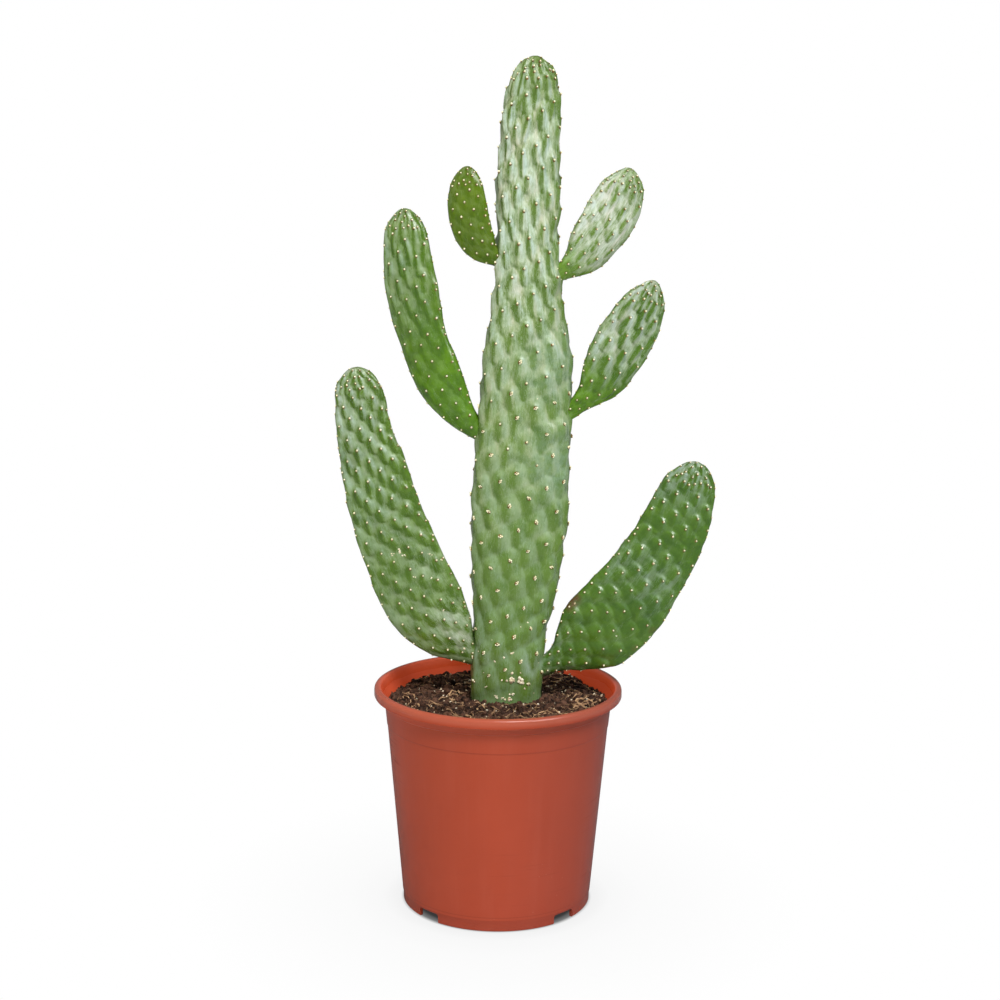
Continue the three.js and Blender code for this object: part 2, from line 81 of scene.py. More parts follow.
def link(mesh, *materials):
    """An object of its mesh's name, in the scene."""
    for material in materials:
        mesh.materials.append(material)
    piece = bpy.data.objects.new(mesh.name, mesh)
    bpy.context.scene.collection.objects.link(piece)
    return piece


def finish_modifiers(piece):
    """Puts the result of the piece's modifiers into its mesh."""
    graph = bpy.context.evaluated_depsgraph_get()
    mesh = bpy.data.meshes.new_from_object(piece.evaluated_get(graph))
    piece.modifiers.clear()
    piece.data = mesh


def turn_pot():
    bm = bmesh.new()
    points = [bm.verts.new((r * MM, 0, z * MM)) for r, z in POT_PROFILE]
    edges = [bm.edges.new(pair) for pair in zip(points, points[1:])]
    bmesh.ops.spin(bm, geom=points + edges, cent=(0, 0, 0), axis=(0, 0, 1), dvec=(0, 0, 0),
                   angle=2 * math.pi, steps=192, use_merge=True)
    bmesh.ops.remove_doubles(bm, verts=bm.verts, dist=0.00001)
    bmesh.ops.recalc_face_normals(bm, faces=bm.faces)
    return link(keep_mesh("pot_plastic", bm))


def pot_openings():
    """The four foot slots and the drainage holes, as one cutting shape."""
    bm = bmesh.new()
    for k in range(4):
        turn = Matrix.Rotation(math.pi / 4 + k * math.pi / 2, 4, "Z")
        place = turn @ Matrix.Translation((0, -SLOT_CENTRE[0] * MM, SLOT_CENTRE[1] * MM))
        size = Matrix.Diagonal([length * MM for length in SLOT_SIZE] + [1])
        made = bmesh.ops.create_cube(bm, size=1, matrix=place @ size)
        upright = [e for e in {e for v in made["verts"] for e in v.link_edges}
                   if all((turn.inverted() @ v.co).z > 0.005 for v in e.verts)
                   and abs((turn.inverted() @ (e.verts[0].co - e.verts[1].co)).y) > 0.01]
        bmesh.ops.bevel(bm, geom=upright, offset=SLOT_CORNER * MM, segments=5,
                        affect="EDGES", profile=0.5, material=-1)
    for k in range(DRAIN_COUNT):
        turn = Matrix.Rotation((k + 0.5) / DRAIN_COUNT * 2 * math.pi, 4, "Z")
        place = turn @ Matrix.Translation((DRAIN_CIRCLE * MM, 0, FOOT_HEIGHT * MM))
        bmesh.ops.create_cone(bm, cap_ends=True, segments=32, radius1=DRAIN_RADIUS * MM,
                              radius2=DRAIN_RADIUS * MM, depth=20 * MM, matrix=place)
    return link(keep_mesh("pot_openings", bm))


class Value:
    """One output of a node. Further nodes add, multiply and stretch it, and value[name] is
    another output of its own node."""

    def __init__(self, socket):
        self.socket, self.tree = socket, socket.id_data

    def __getitem__(self, name):
        return Value(self.socket.node.outputs[name])

    def math(self, kind, other=0.0):
        return node(self.tree, "ShaderNodeMath", {0: self, 1: other}, operation=kind)

    def __add__(self, other):
        return self.math("ADD", other)

    def __sub__(self, other):
        return self.math("SUBTRACT", other)

    def __mul__(self, other):
        return self.math("MULTIPLY", other)

    def spread(self, low, high, to_low=0.0, to_high=1.0):
        """Stretches one range to another and holds the value there."""
        return node(self.tree, "ShaderNodeMapRange",
                    {0: self, 1: low, 2: high, 3: to_low, 4: to_high})


def connect(made, inputs):
    """Links values to the inputs of a node and sets the rest as constants."""
    for key, value in inputs.items():
        socket = made.inputs[key]
        if isinstance(value, Value):
            value.tree.links.new(value.socket, socket)
        else:
            socket.default_value = (*value, 1) if socket.type == "RGBA" else value


def node(tree, kind, inputs=None, out=0, **settings):
    """Adds a node and returns one of its outputs."""
    made = tree.nodes.new(kind)
    for key, value in settings.items():
        setattr(made, key, value)
    connect(made, inputs or {})
    return Value(made.outputs[out])


def blend(factor, a, b):
    return node(factor.tree, "ShaderNodeMix", {0: factor, 6: a, 7: b}, 2, data_type="RGBA")


def layered(base, layers):
    """Lays thin coats over a colour, each given as its factor and its colour."""
    for factor, colour in layers:
        base = blend(factor, base, colour)
    return base


def grain(spot, scale, detail=2.0, roughness=0.5, distortion=0.0):
    return node(spot.tree, "ShaderNodeTexNoise",
                {"Vector": spot, "Scale": scale, "Detail": detail, "Roughness": roughness,
                 "Distortion": distortion})


def cells(spot, scale):
    return node(spot.tree, "ShaderNodeTexVoronoi", {"Vector": spot, "Scale": scale})


def stretched(spot, scale):
    return node(spot.tree, "ShaderNodeMapping", {"Vector": spot, "Scale": scale})


def mask(tree, key):
    """A value that the mesh carries at each of its points."""
    return node(tree, "ShaderNodeAttribute", out="Fac", attribute_name=key)


def bump(height, strength, distance):
    return node(height.tree, "ShaderNodeBump",
                {"Height": height, "Strength": strength, "Distance": distance})


def new_material(name):
    """A material, its shader and the place on the object."""
    material = bpy.data.materials.new(name)
    material.use_nodes = True
    tree = material.node_tree
    spot = node(tree, "ShaderNodeTexCoord", out="Object")
    return material, tree.nodes["Principled BSDF"], spot


def moulded_plastic():
    material, skin, spot = new_material("moulded_plastic")
    tree = spot.tree
    spot = node(tree, "ShaderNodeMapping", {"Vector": spot, "Location": (-POT_AXIS, 0, 0)})
    axes = node(tree, "ShaderNodeSeparateXYZ", {0: spot})
    across, height = axes[0], axes[2]
    clouds = grain(spot, 9.0, 4.0)
    streaks = grain(stretched(spot, (1, 1, 0.06)), 70.0, 3.0)
    scratches = grain(stretched(spot, (0.25, 0.25, 9)), 60.0, 3.0)
    scratches = scratches.spread(0.62, 0.72) * clouds.spread(0.45, 0.6)
    specks = cells(spot, 160.0).spread(0.10, 0.05) * clouds.spread(0.5, 0.62)
    # Painted light: the band under the lip, from 172 to 182 mm up, is made lighter where the
    # lip's shadow falls.
    neck = height.spread(0.172, 0.178) * height.spread(0.182, 0.181)
    lines = [node(tree, "ShaderNodeMath", {0: height, 1: level, 2: 0.0004},
                  operation="COMPARE") for level in (0.0094, 0.0124, 0.1585)]
    # Painted shade: the colour darkens towards the pot's outline.
    painted_edge_shade = node(tree, "ShaderNodeLayerWeight", {"Blend": 0.3}, "Facing")
    base = blend(clouds.spread(0.35, 0.65), (0.345, 0.049, 0.018), (0.39, 0.058, 0.023))
    base = layered(base, [
        (height.spread(0.12, 0.0, 0.0, 0.3), (0.26, 0.036, 0.016)),
        (streaks.spread(0.52, 0.75) * 0.14, (0.46, 0.10, 0.055)),
        (scratches * 0.35, (0.20, 0.028, 0.012)),
        *((line * 0.3, (0.12, 0.018, 0.01)) for line in lines),
        # The band under the lip, lightened as painted light.
        (neck * 0.5, (0.50, 0.085, 0.038)),
        # Painted shade: darker towards the right side of the pot.
        (across.spread(0.0, 0.09, 0.0, 0.65), (0.20, 0.032, 0.018)),
        # Painted shade: darker on the foot ring, below 9 mm.
        (height.spread(0.0095, 0.0085, 0.0, 0.45), (0.22, 0.035, 0.018)),
        # Painted highlight: lighter and pinker over the top of the lip.
        (height.spread(0.1835, 0.1865, 0.0, 0.16), (0.62, 0.26, 0.18)),
        (specks * 0.2, (0.58, 0.24, 0.15)),
        # Painted shade towards the outline.
        (painted_edge_shade.spread(0.4, 1.0, 0.0, 0.6), (0.16, 0.025, 0.016))])
    rough = streaks.spread(0.3, 0.7, 0.32, 0.42) * height.spread(0.179, 0.183, 1.0, 0.62)
    relief = grain(spot, 900.0) + streaks * 1.5
    # Painted light: the inner wall glows faintly red, standing in for light bounced about inside
    # the pot.
    connect(skin, {"Base Color": base, "Roughness": rough + scratches * 0.1,
                   "Normal": bump(relief, 0.12, 0.0004), "Emission Color": (1, 0.1, 0.02),
                   "Emission Strength": mask(tree, "inside") * 0.22, "IOR": 1.5,
                   "Specular IOR Level": 0.26})
    return material


pot = turn_pot()
openings = pot_openings()
cut = pot.modifiers.new("openings", "BOOLEAN")
cut.object = openings
cut.solver = "EXACT"
finish_modifiers(pot)
bpy.data.objects.remove(openings)
# Marks the inner wall, which the plastic's material makes glow as painted light.
inside = pot.data.attributes.new("inside", "FLOAT", "POINT")
for v in pot.data.vertices:
    inward = -(v.co.x * v.normal.x + v.co.y * v.normal.y) / math.hypot(v.co.x, v.co.y, 1e-6)
    inside.data[v.index].value = min(1, max(0, 2 * inward)) if v.co.z > 0.012 else 0
pot.data.transform(Matrix.Translation((POT_AXIS, 0, 0)))
pot.data.shade_smooth()
pot.data.set_sharp_from_angle(angle=math.radians(42))
pot.modifiers.new("flat_faces_first", "WEIGHTED_NORMAL").keep_sharp = True
finish_modifiers(pot)
pot.data.materials.append(moulded_plastic())
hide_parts("pot")
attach(pot, "root")


# The soil. Potting mix of peat and composted bark, poured round the trunk and mounded a
# little against it. It fills the pot to about two centimetres below the lip.
SOIL_LEVEL = 173.5
SOIL_MOUND = 5.5
SOIL_WALL = 93.3
SOIL_EDGE = 171
SOIL_BOTTOM = 12
WALL_SLOPE = 0.084
TRUNK_FOOT = (5.5, 32.0, 24.0)

# Low heaps and hollows as (x, y, width, rise), from the pot's axis.
SOIL_HEAPS = [(-45, 45, 24, 4.5), (50, 58, 22, 5.5), (76, 6, 15, 3), (-66, -18, 18, 2),
              (20, -66, 20, -2), (-12, 50, 16, -3)]


def soil_height(x, y):
    """The height of the soil in millimetres, from the pot's axis."""
    away = math.hypot(x - TRUNK_FOOT[0], y)
    broad = SOIL_LEVEL + SOIL_MOUND * math.exp(-(away / 58) ** 2)
    for hx, hy, width, rise in SOIL_HEAPS:
        broad += rise * math.exp(-((x - hx) ** 2 + (y - hy) ** 2) / width ** 2)
    lumps = noise.fractal(Vector((x / 12, y / 12, 3.1)), 0.8, 2.1, 4)
    crumbs = noise.noise(Vector((x / 3.6, y / 3.6, 1.7)), noise_basis="VORONOI_F1")
    return broad + 2.6 * lumps + 2.6 * (0.5 - crumbs)


def ring_ball(name, sides, rings):
    """A closed ball of rings, with the ring and the side of each of its vertices."""
    bm = bmesh.new()
    bmesh.ops.create_grid(bm, x_segments=sides, y_segments=rings, size=0.5)
    for v in bm.verts:
        turn, fall = (v.co.x + 0.5) * 2 * math.pi, (v.co.y + 0.5) * math.pi
        v.co = (math.sin(fall) * math.cos(turn), math.sin(fall) * math.sin(turn),
                math.cos(fall))
    seam = [v for v in bm.verts if v.is_boundary]
    bmesh.ops.remove_doubles(bm, verts=seam, dist=0.00001)
    bmesh.ops.recalc_face_normals(bm, faces=bm.faces)
    mesh = keep_mesh(name, bm)
    mesh.shade_smooth()
    spots = np.empty(len(mesh.vertices) * 3)
    mesh.vertices.foreach_get("co", spots)
    x, y, z = spots.reshape(-1, 3).T
    ring = np.rint(np.arctan2(np.hypot(x, y), z) / np.pi * rings).astype(int)
    side = np.rint(np.arctan2(y, x) / (2 * np.pi) * sides).astype(int)
    return mesh, ring, side % sides


def to_mesh(mesh, spots):
    """Moves the vertices to places in millimetres from the pot's axis."""
    mesh.vertices.foreach_set("co", (spots * MM + [POT_AXIS, 0, 0]).ravel())
    mesh.update()


def pour_soil():
    sides, rings, top_rings = 400, 116, 102
    mesh, ring, side = ring_ball("soil_body", sides, rings)
    spots = np.empty((len(ring), 3))
    for i, (r, s) in enumerate(zip(ring, side)):
        angle = s / sides * 2 * math.pi
        if r <= top_rings:
            reach = (SOIL_WALL + 1) * r / top_rings
            x, y = reach * math.cos(angle), reach * math.sin(angle)
            spots[i] = (x, y, soil_height(x, y))
        else:
            down = (r - top_rings) / (rings - top_rings)
            depth = SOIL_EDGE - min(1, down * 1.2) * (SOIL_EDGE - SOIL_BOTTOM)
            reach = SOIL_WALL - (SOIL_EDGE - depth) * WALL_SLOPE
            reach *= 1 if down < 0.84 else (1 - down) / 0.16
            spots[i] = (reach * math.cos(angle), reach * math.sin(angle), depth)
    to_mesh(mesh, spots)
    return link(mesh)


def potting_mix():
    material, skin, spot = new_material("potting_mix")
    fine, broad, crumbs = grain(spot, 420.0, 6.0, 0.7), grain(spot, 45.0), cells(spot, 330.0)
    tint = node(spot.tree, "ShaderNodeSeparateColor", {0: crumbs["Color"]})
    base = blend(fine.spread(0.35, 0.7), (0.012, 0.006, 0.004), (0.08, 0.038, 0.023))
    base = layered(base, [(tint.spread(0.6, 1.0) * 0.6, (0.2, 0.105, 0.065)),
                          (broad.spread(0.45, 0.7) * 0.5, (0.035, 0.02, 0.012))])
    connect(skin, {"Base Color": base, "Roughness": 0.9, "Specular IOR Level": 0.15,
                   "Normal": bump(fine - crumbs, 0.9, 0.0012)})
    return material


soil = pour_soil()
soil.data.materials.append(potting_mix())
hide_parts("soil")
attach(soil, "root")


# Crumbs, fibres and grains. Loose bits of bark, tan shreds of fibre and white grains of expanded
# rock lie strewn evenly on top of the soil.
def soil_spot(rng, inner=1.05, outer=0.985):
    """A place on the soil clear of the trunk and inside the wall."""
    while True:
        angle = rng.uniform(0, 2 * math.pi)
        reach = SOIL_WALL * outer * math.sqrt(rng.random())
        x, y = reach * math.cos(angle), reach * math.sin(angle)
        foot, wide, thick = TRUNK_FOOT
        if ((x - foot) / wide) ** 2 + (y / thick) ** 2 > inner ** 2:
            return x, y


def shape_of(name, build, *details):
    """A small shape made once, to be set down many times."""
    bm = bmesh.new()
    build(bm, *details)
    return keep_mesh(name, bm)


def lump(bm, centre=(0, 0, 0), size=(1, 1, 1)):
    place = Matrix.Translation(centre) @ Matrix.Diagonal((*size, 1))
    bmesh.ops.create_icosphere(bm, subdivisions=1, radius=1, matrix=place)


def strip(bm):
    bmesh.ops.create_cube(bm, size=1)
    across = [e for e in bm.edges if abs(e.verts[0].co.x - e.verts[1].co.x) > 0.5]
    bmesh.ops.subdivide_edges(bm, edges=across, cuts=6, use_grid_fill=True)


def set_down(bm, pattern):
    """Adds one copy of a small shape and returns its vertices."""
    start = len(bm.verts)
    bm.from_mesh(pattern)
    bm.verts.ensure_lookup_table()
    return bm.verts[start:]


def scatter_crumbs(name, seed, count, sizes, lift, matter):
    rng = random.Random(seed)
    pattern = shape_of(name + "_shape", lump)
    bm = bmesh.new()
    for _ in range(count):
        x, y = soil_spot(rng)
        size = rng.uniform(*sizes) * rng.uniform(0.5, 1)
        z = soil_height(x, y) + size * lift
        centre = Vector((x * MM + POT_AXIS, y * MM, z * MM))
        axis = Vector((rng.gauss(0, 1), rng.gauss(0, 1), rng.gauss(0, 1))).normalized()
        turn = Matrix.Rotation(rng.uniform(0, 6.28), 3, axis)
        stretch = Vector((1, rng.uniform(0.6, 1), 0.7)) * size * MM
        for v in set_down(bm, pattern):
            v.co = centre + turn @ (v.co * stretch) * rng.uniform(0.72, 1.28)
    return link(keep_mesh(name, bm), matter)


def scatter_fibres(seed, count, matter):
    """Flat shreds, each a thin strip curled along an arc, some with one end in the air. A
    few more of them lie against the wall on the right."""
    rng = random.Random(seed)
    pattern = shape_of("fibre_shape", strip)
    bm = bmesh.new()
    for _ in range(count):
        x, y = soil_spot(rng, 1.25, 0.95)
        if rng.random() < 0.06:
            angle, reach = rng.gauss(-0.3, 0.3), SOIL_WALL * rng.uniform(0.7, 0.93)
            x, y = reach * math.cos(angle), reach * math.sin(angle)
        length, width = rng.uniform(5, 20), rng.choice((0.4, 0.5, 0.7, 1.2))
        heading, bend = rng.uniform(0, 2 * math.pi), rng.gauss(0, 1.0) + 0.01
        lift, rear = rng.uniform(0.3, 1.6), max(0, rng.gauss(0, 0.14))
        floor = soil_height(x, y)
        for v in set_down(bm, pattern):
            along = v.co.x
            aside = v.co.y * width * (1 - 0.8 * abs(2 * along) ** 3)
            px = length / bend * math.sin(bend * along) - aside * math.sin(bend * along)
            py = length / bend * (1 - math.cos(bend * along)) + aside * math.cos(bend * along)
            gx = x + px * math.cos(heading) - py * math.sin(heading)
            gy = y + px * math.sin(heading) + py * math.cos(heading)
            reach = math.hypot(gx, gy)
            if reach > SOIL_WALL - 0.6:
                gx, gy = gx * (SOIL_WALL - 0.6) / reach, gy * (SOIL_WALL - 0.6) / reach
            gz = 0.5 * (floor + soil_height(gx, gy)) + lift + v.co.z * 0.5 * width
            gz += rear * length * (0.5 + along) + 0.8 * math.cos(math.pi * along)
            v.co = (gx * MM + POT_AXIS, gy * MM, gz * MM)
    return link(keep_mesh("soil_fibres", bm), matter)


def loose_matter(name, dark, light, roughness, scale=300.0):
    material, skin, spot = new_material(name)
    fine, patch = grain(spot, scale, 5.0), grain(spot, scale * 0.4, 1.0)
    connect(skin, {"Base Color": blend((fine + patch).spread(0.75, 1.25), dark, light),
                   "Roughness": roughness, "Specular IOR Level": 0.15,
                   "Normal": bump(fine, 0.6, 0.0006)})
    return material


bark = scatter_crumbs(
    "soil_crumbs", 11, 2600, (0.8, 3.8), 0.25,
    loose_matter("composted_bark", (0.008, 0.004, 0.002), (0.13, 0.062, 0.037), 0.9))
fibres = scatter_fibres(
    23, 380, loose_matter("tan_fibre", (0.10, 0.045, 0.022), (0.58, 0.36, 0.19), 0.8, 90.0))
grains = scatter_crumbs(
    "soil_grains", 37, 190, (0.9, 1.6), 1.2,
    loose_matter("expanded_rock", (0.62, 0.46, 0.28), (0.95, 0.86, 0.66), 0.85, 500.0))
for bits in (bark, fibres, grains):
    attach(bits, "root")


# The trunk. The main stem, grown in one piece: a flattened column with a pale waxy bloom,
# raised into tubercles that each carry an areole near the upper end. Its foot stands in
# the soil.
FULLNESS = 2.25
CLOSEST_AREOLES = 2.6
MOST_AREOLES = 900
CROWN_GAP = 2.8
GIRTH_STEPS = 600

# Lengths are in millimetres, and a place runs from 0 at the foot of a stem to 1 at its tip.
# A station is (place, half width, half thickness, shift to the side). A row of the drops is
# (place, half width, length, share, strength) of the tubercles' drop-shaped backs. turn is
# in degrees, advance and spiral lead the areoles round the stem, relief is how far the
# tubercles stand out, and mound is the reach of a round one above, below and across.
TRUNK = dict(
    curve=[(5.5, 0, 126), (5.5, 0, 260), (27, 0, 430), (25, 0, 716.5)],
    stations=[(0, 32, 24), (0.09, 32, 24), (0.13, 32.2, 24, 0.2), (0.19, 32.2, 23.5, 0.9),
              (0.249, 36.6, 23, 1.9), (0.308, 40, 22.5, 2.3), (0.366, 42, 22, 2.4),
              (0.425, 41, 21.5, 1.1), (0.483, 40.6, 21, 1.6), (0.539, 39.4, 20.5, 1.5),
              (0.596, 37.4, 19.5, 1.2), (0.652, 31.6, 18, -1.1), (0.708, 28, 17, -1.8),
              (0.764, 27, 16.5, -3), (0.818, 28, 16.3, -3.7), (0.872, 26, 16, -2.8),
              (0.926, 25, 15.2, -2), (0.97, 20.2, 14), (1, 17.8, 12, 0.5)],
    turn=4, tip=0.04, advance=1.8, spiral=0.2688, start=0.31, green=0.55, relief=3.4,
    fluting=0.2, bare=0.1, flat_edge=0.2, mound=(0.6, 1.0, 0.62),
    drops=[(0, 0.3, 0.7, 0.2, 0.4), (0.12, 0.3, 0.7, 0.25, 0.6), (0.3, 0.3, 0.8, 0.25, 1.0),
           (0.45, 0.28, 0.85, 0.35, 0.95), (0.7, 0.23, 1.0, 0.55, 1.05),
           (1, 0.2, 1.1, 0.65, 1.1)])


def smooth_line(stations, column, place):
    """A smooth line through the stations of one column."""
    table = np.array([(s[0], s[column] if column < len(s) else 0) for s in stations], float)
    x, y = table[:, 0], table[:, 1]
    last = len(x) - 1
    before = np.maximum(np.arange(last + 1) - 1, 0)
    after = np.minimum(np.arange(last + 1) + 1, last)
    slope = (y[after] - y[before]) / (x[after] - x[before])
    i = np.clip(np.searchsorted(x, place) - 1, 0, last - 1)
    gap = x[i + 1] - x[i]
    t = np.clip((place - x[i]) / gap, 0, 1)
    rise, fall = slope[i] * gap, slope[i + 1] * gap
    a, b = y[i], y[i + 1]
    return (a + t * rise + t ** 2 * (3 * (b - a) - 2 * rise - fall)
            + t ** 3 * (2 * (a - b) + rise + fall))


def section_outline(wide, thick, steps):
    """One full section: its points, and the length of its outline up to each of them."""
    angle = np.linspace(0, 2 * np.pi, steps + 1)
    c, s = np.cos(angle), np.sin(angle)
    power = 2 / FULLNESS
    x = wide * np.sign(c) * np.abs(c) ** power
    y = thick * np.sign(s) * np.abs(s) ** power
    length = np.concatenate([[0], np.cumsum(np.hypot(np.diff(x), np.diff(y)))])
    return x, y, length


class Stem:
    """The smooth form of one stem, and the places of its areoles."""

    def __init__(self, shape):
        self.shape = shape
        self.curve = np.array(shape["curve"], float)
        self.times = np.linspace(0, 1, 401)
        steps = np.diff(self.line(self.times[:, None]), axis=0)
        self.lengths = np.concatenate([[0], np.cumsum(np.linalg.norm(steps, axis=1))])
        self.length = self.lengths[-1]
        self.places = np.arange(GIRTH_STEPS + 1) / GIRTH_STEPS
        self.girths = np.array([section_outline(wide, thick, 96)[2][-1] for wide, thick
                                in zip(*self.half_sizes(np.minimum(self.places, 0.9998)))])
        rise = 2 * self.length / GIRTH_STEPS / (self.girths[1:] + self.girths[:-1])
        self.rises = np.concatenate([[0], np.cumsum(rise)])

    def line(self, t):
        """The middle line at the curve's own times."""
        a, b, c, d = self.curve
        return ((1 - t) ** 3 * a + 3 * t * (1 - t) ** 2 * b + 3 * t ** 2 * (1 - t) * c
                + t ** 3 * d)

    def half_sizes(self, place):
        left = (1 - place) / self.shape["tip"]
        end = np.where(left >= 1, 1, np.sqrt(np.maximum(0, 1 - (1 - left) ** 2)))
        return [np.maximum(0.02, smooth_line(self.shape["stations"], column, place) * end)
                for column in (1, 2)]

    def girth_at(self, place):
        return np.interp(place, self.places, self.girths)

    def rise_at(self, place):
        return np.interp(place, self.places, self.rises)

    def place_of(self, rise):
        return np.interp(rise, self.rises, self.places)

    def frames(self, place):
        """The middle, the direction, the side and the back of the stem at each place."""
        t = np.interp(np.asarray(place) * self.length, self.lengths, self.times)[:, None]
        a, b, c, d = self.curve
        ahead = (1 - t) ** 2 * (b - a) + 2 * t * (1 - t) * (c - b) + t ** 2 * (d - c)
        ahead /= np.linalg.norm(ahead, axis=1)[:, None]
        side = np.cross([0, 1, 0], ahead)
        side /= np.linalg.norm(side, axis=1)[:, None]
        return self.line(t), ahead, side, np.cross(ahead, side)

    def skin(self, places, sides):
        """The smooth skin as a grid of points, one row for each place, and the same points
        on the stem pulled straight."""
        middle, _, side, back = self.frames(places)
        turn = math.radians(self.shape["turn"])
        grid, straight = np.empty((2, len(places), sides, 3))
        shift = smooth_line(self.shape["stations"], 3, places)
        for row, (wide, thick) in enumerate(zip(*self.half_sizes(places))):
            x, y, length = section_outline(wide, thick, 384)
            want = np.arange(sides) / sides * length[-1]
            x, y = np.interp(want, length, x), np.interp(want, length, y)
            across = x * math.cos(turn) - y * math.sin(turn)
            deep = x * math.sin(turn) + y * math.cos(turn)
            grid[row] = (middle[row] + (across + shift[row])[:, None] * side[row]
                         + deep[:, None] * back[row])
            straight[row] = np.stack([x, y, np.full(sides, places[row] * self.length)], 1)
        return grid, straight

    def areoles(self):
        """Every areole as (u, rise, place, cell, weight), on one spiral from the foot to the
        tip. u and rise run round and up the stem, and a cell is the room of one areole."""
        def scatter(k, kind):
            value = math.sin(k * 12.9898 + kind * 78.233) * 43758.5453
            return 2 * (value - math.floor(value)) - 1

        shape, found = self.shape, []
        rise = self.rise_at(shape.get("bare", 0.02)) + 0.05
        for k in range(MOST_AREOLES):
            girth = self.girth_at(self.place_of(rise))
            step = shape["advance"] / max(girth, 0.6 * self.girths.max())
            cell = math.sqrt(step)
            if self.place_of(rise) > 0.997 or cell * girth < CLOSEST_AREOLES:
                break
            u = shape["start"] + k * shape["spiral"] + 0.08 * cell * scatter(k, 2)
            height = rise + 0.08 * cell * scatter(k, 1)
            found.append((u - math.floor(u), height, self.place_of(height), cell, 1.0))
            rise += step
        found += self.margin_areoles(found)
        return found + self.crown_areoles(found)

    def room(self, u, rise, girth, others):
        """How near the nearest of the other areoles is."""
        return min(math.hypot(u - o[0] - round(u - o[0]), rise - o[1]) * girth
                   for o in others)

    def margin_areoles(self, others):
        """The smaller areoles along the two thin edges of a pad, where no other is near."""
        found = []
        spacing = self.shape.get("margin")
        if not spacing:
            return found
        for edge in (0.0, 0.5):
            rise = self.rise_at(0.1) + 0.03 * edge
            while self.place_of(rise) < 0.97:
                place = self.place_of(rise)
                girth = self.girth_at(place)
                u = edge + (0.03 if len(found) % 2 else -0.02)
                if self.room(u, rise, girth, others) > 0.55 * spacing:
                    found.append((u % 1, rise, place, others[0][3], 0.5))
                rise += spacing / girth * (1 + 0.15 * math.sin(rise * 37))
        return found

    def crown_areoles(self, others):
        """The small areoles that crowd the growing tip."""
        found = []
        cell = math.sqrt(self.shape["advance"] / (0.6 * self.girths.max()))
        for k in range(1, 34):
            polar = 0.26 * math.sqrt(k - 0.4)
            place = 1 - self.shape["tip"] * (1 - math.cos(min(polar, 1.35)))
            u, rise, girth = 0.618 * k % 1, self.rise_at(place), self.girth_at(place)
            if self.room(u, rise, girth, others + found) > CROWN_GAP:
                found.append((u, rise, place, cell, 0.65))
        return found


def even_places(stem, rings):
    """Places that lie at even distances over the skin, from the tip down to the foot."""
    fine = 1 - np.linspace(0, 1, 4001) ** 2
    wide, thick = stem.half_sizes(fine)
    run = np.hypot(np.diff(fine) * stem.length, np.diff(0.5 * (wide + thick)))
    reach = np.concatenate([[0], np.cumsum(run)])
    return np.interp(np.arange(1, rings) / (rings - 1) * reach[-1], reach, fine)


def drift(points, wavelength, seed):
    """A smooth random field over a grid of points, from about -1 to 1."""
    flat = points.reshape(-1, 3) / wavelength + [seed, 2.3, -1.7]
    return np.array([noise.noise(Vector(p)) for p in flat]).reshape(points.shape[:-1])


def soft_step(value, low, high):
    t = np.clip((value - low) / (high - low), 0, 1)
    return t * t * (3 - 2 * t)


def drop_form(dx, dy, wide, foot):
    """One tubercle's back: a teardrop with its point at the areole, a round lower end and
    a crest that sinks towards that end. dx and dy are in spacings of the areoles."""
    t = np.maximum(-dy, 0) / foot
    half = wide * (0.42 + 0.58 * np.sin(np.clip(t / 0.65, 0, 1) * np.pi / 2))
    half = half * np.sqrt(np.clip(1 - np.clip((t - 0.6) / 0.45, 0, 1) ** 2, 0.03, 1))
    crest = (1 - 0.45 * t) * soft_step(1.1 - t, 0, 0.2)
    crest = np.where(dy > 0, np.exp(-(dy / 0.15) ** 2), crest)
    return crest * np.exp(-np.abs(dx / half) ** 1.7)


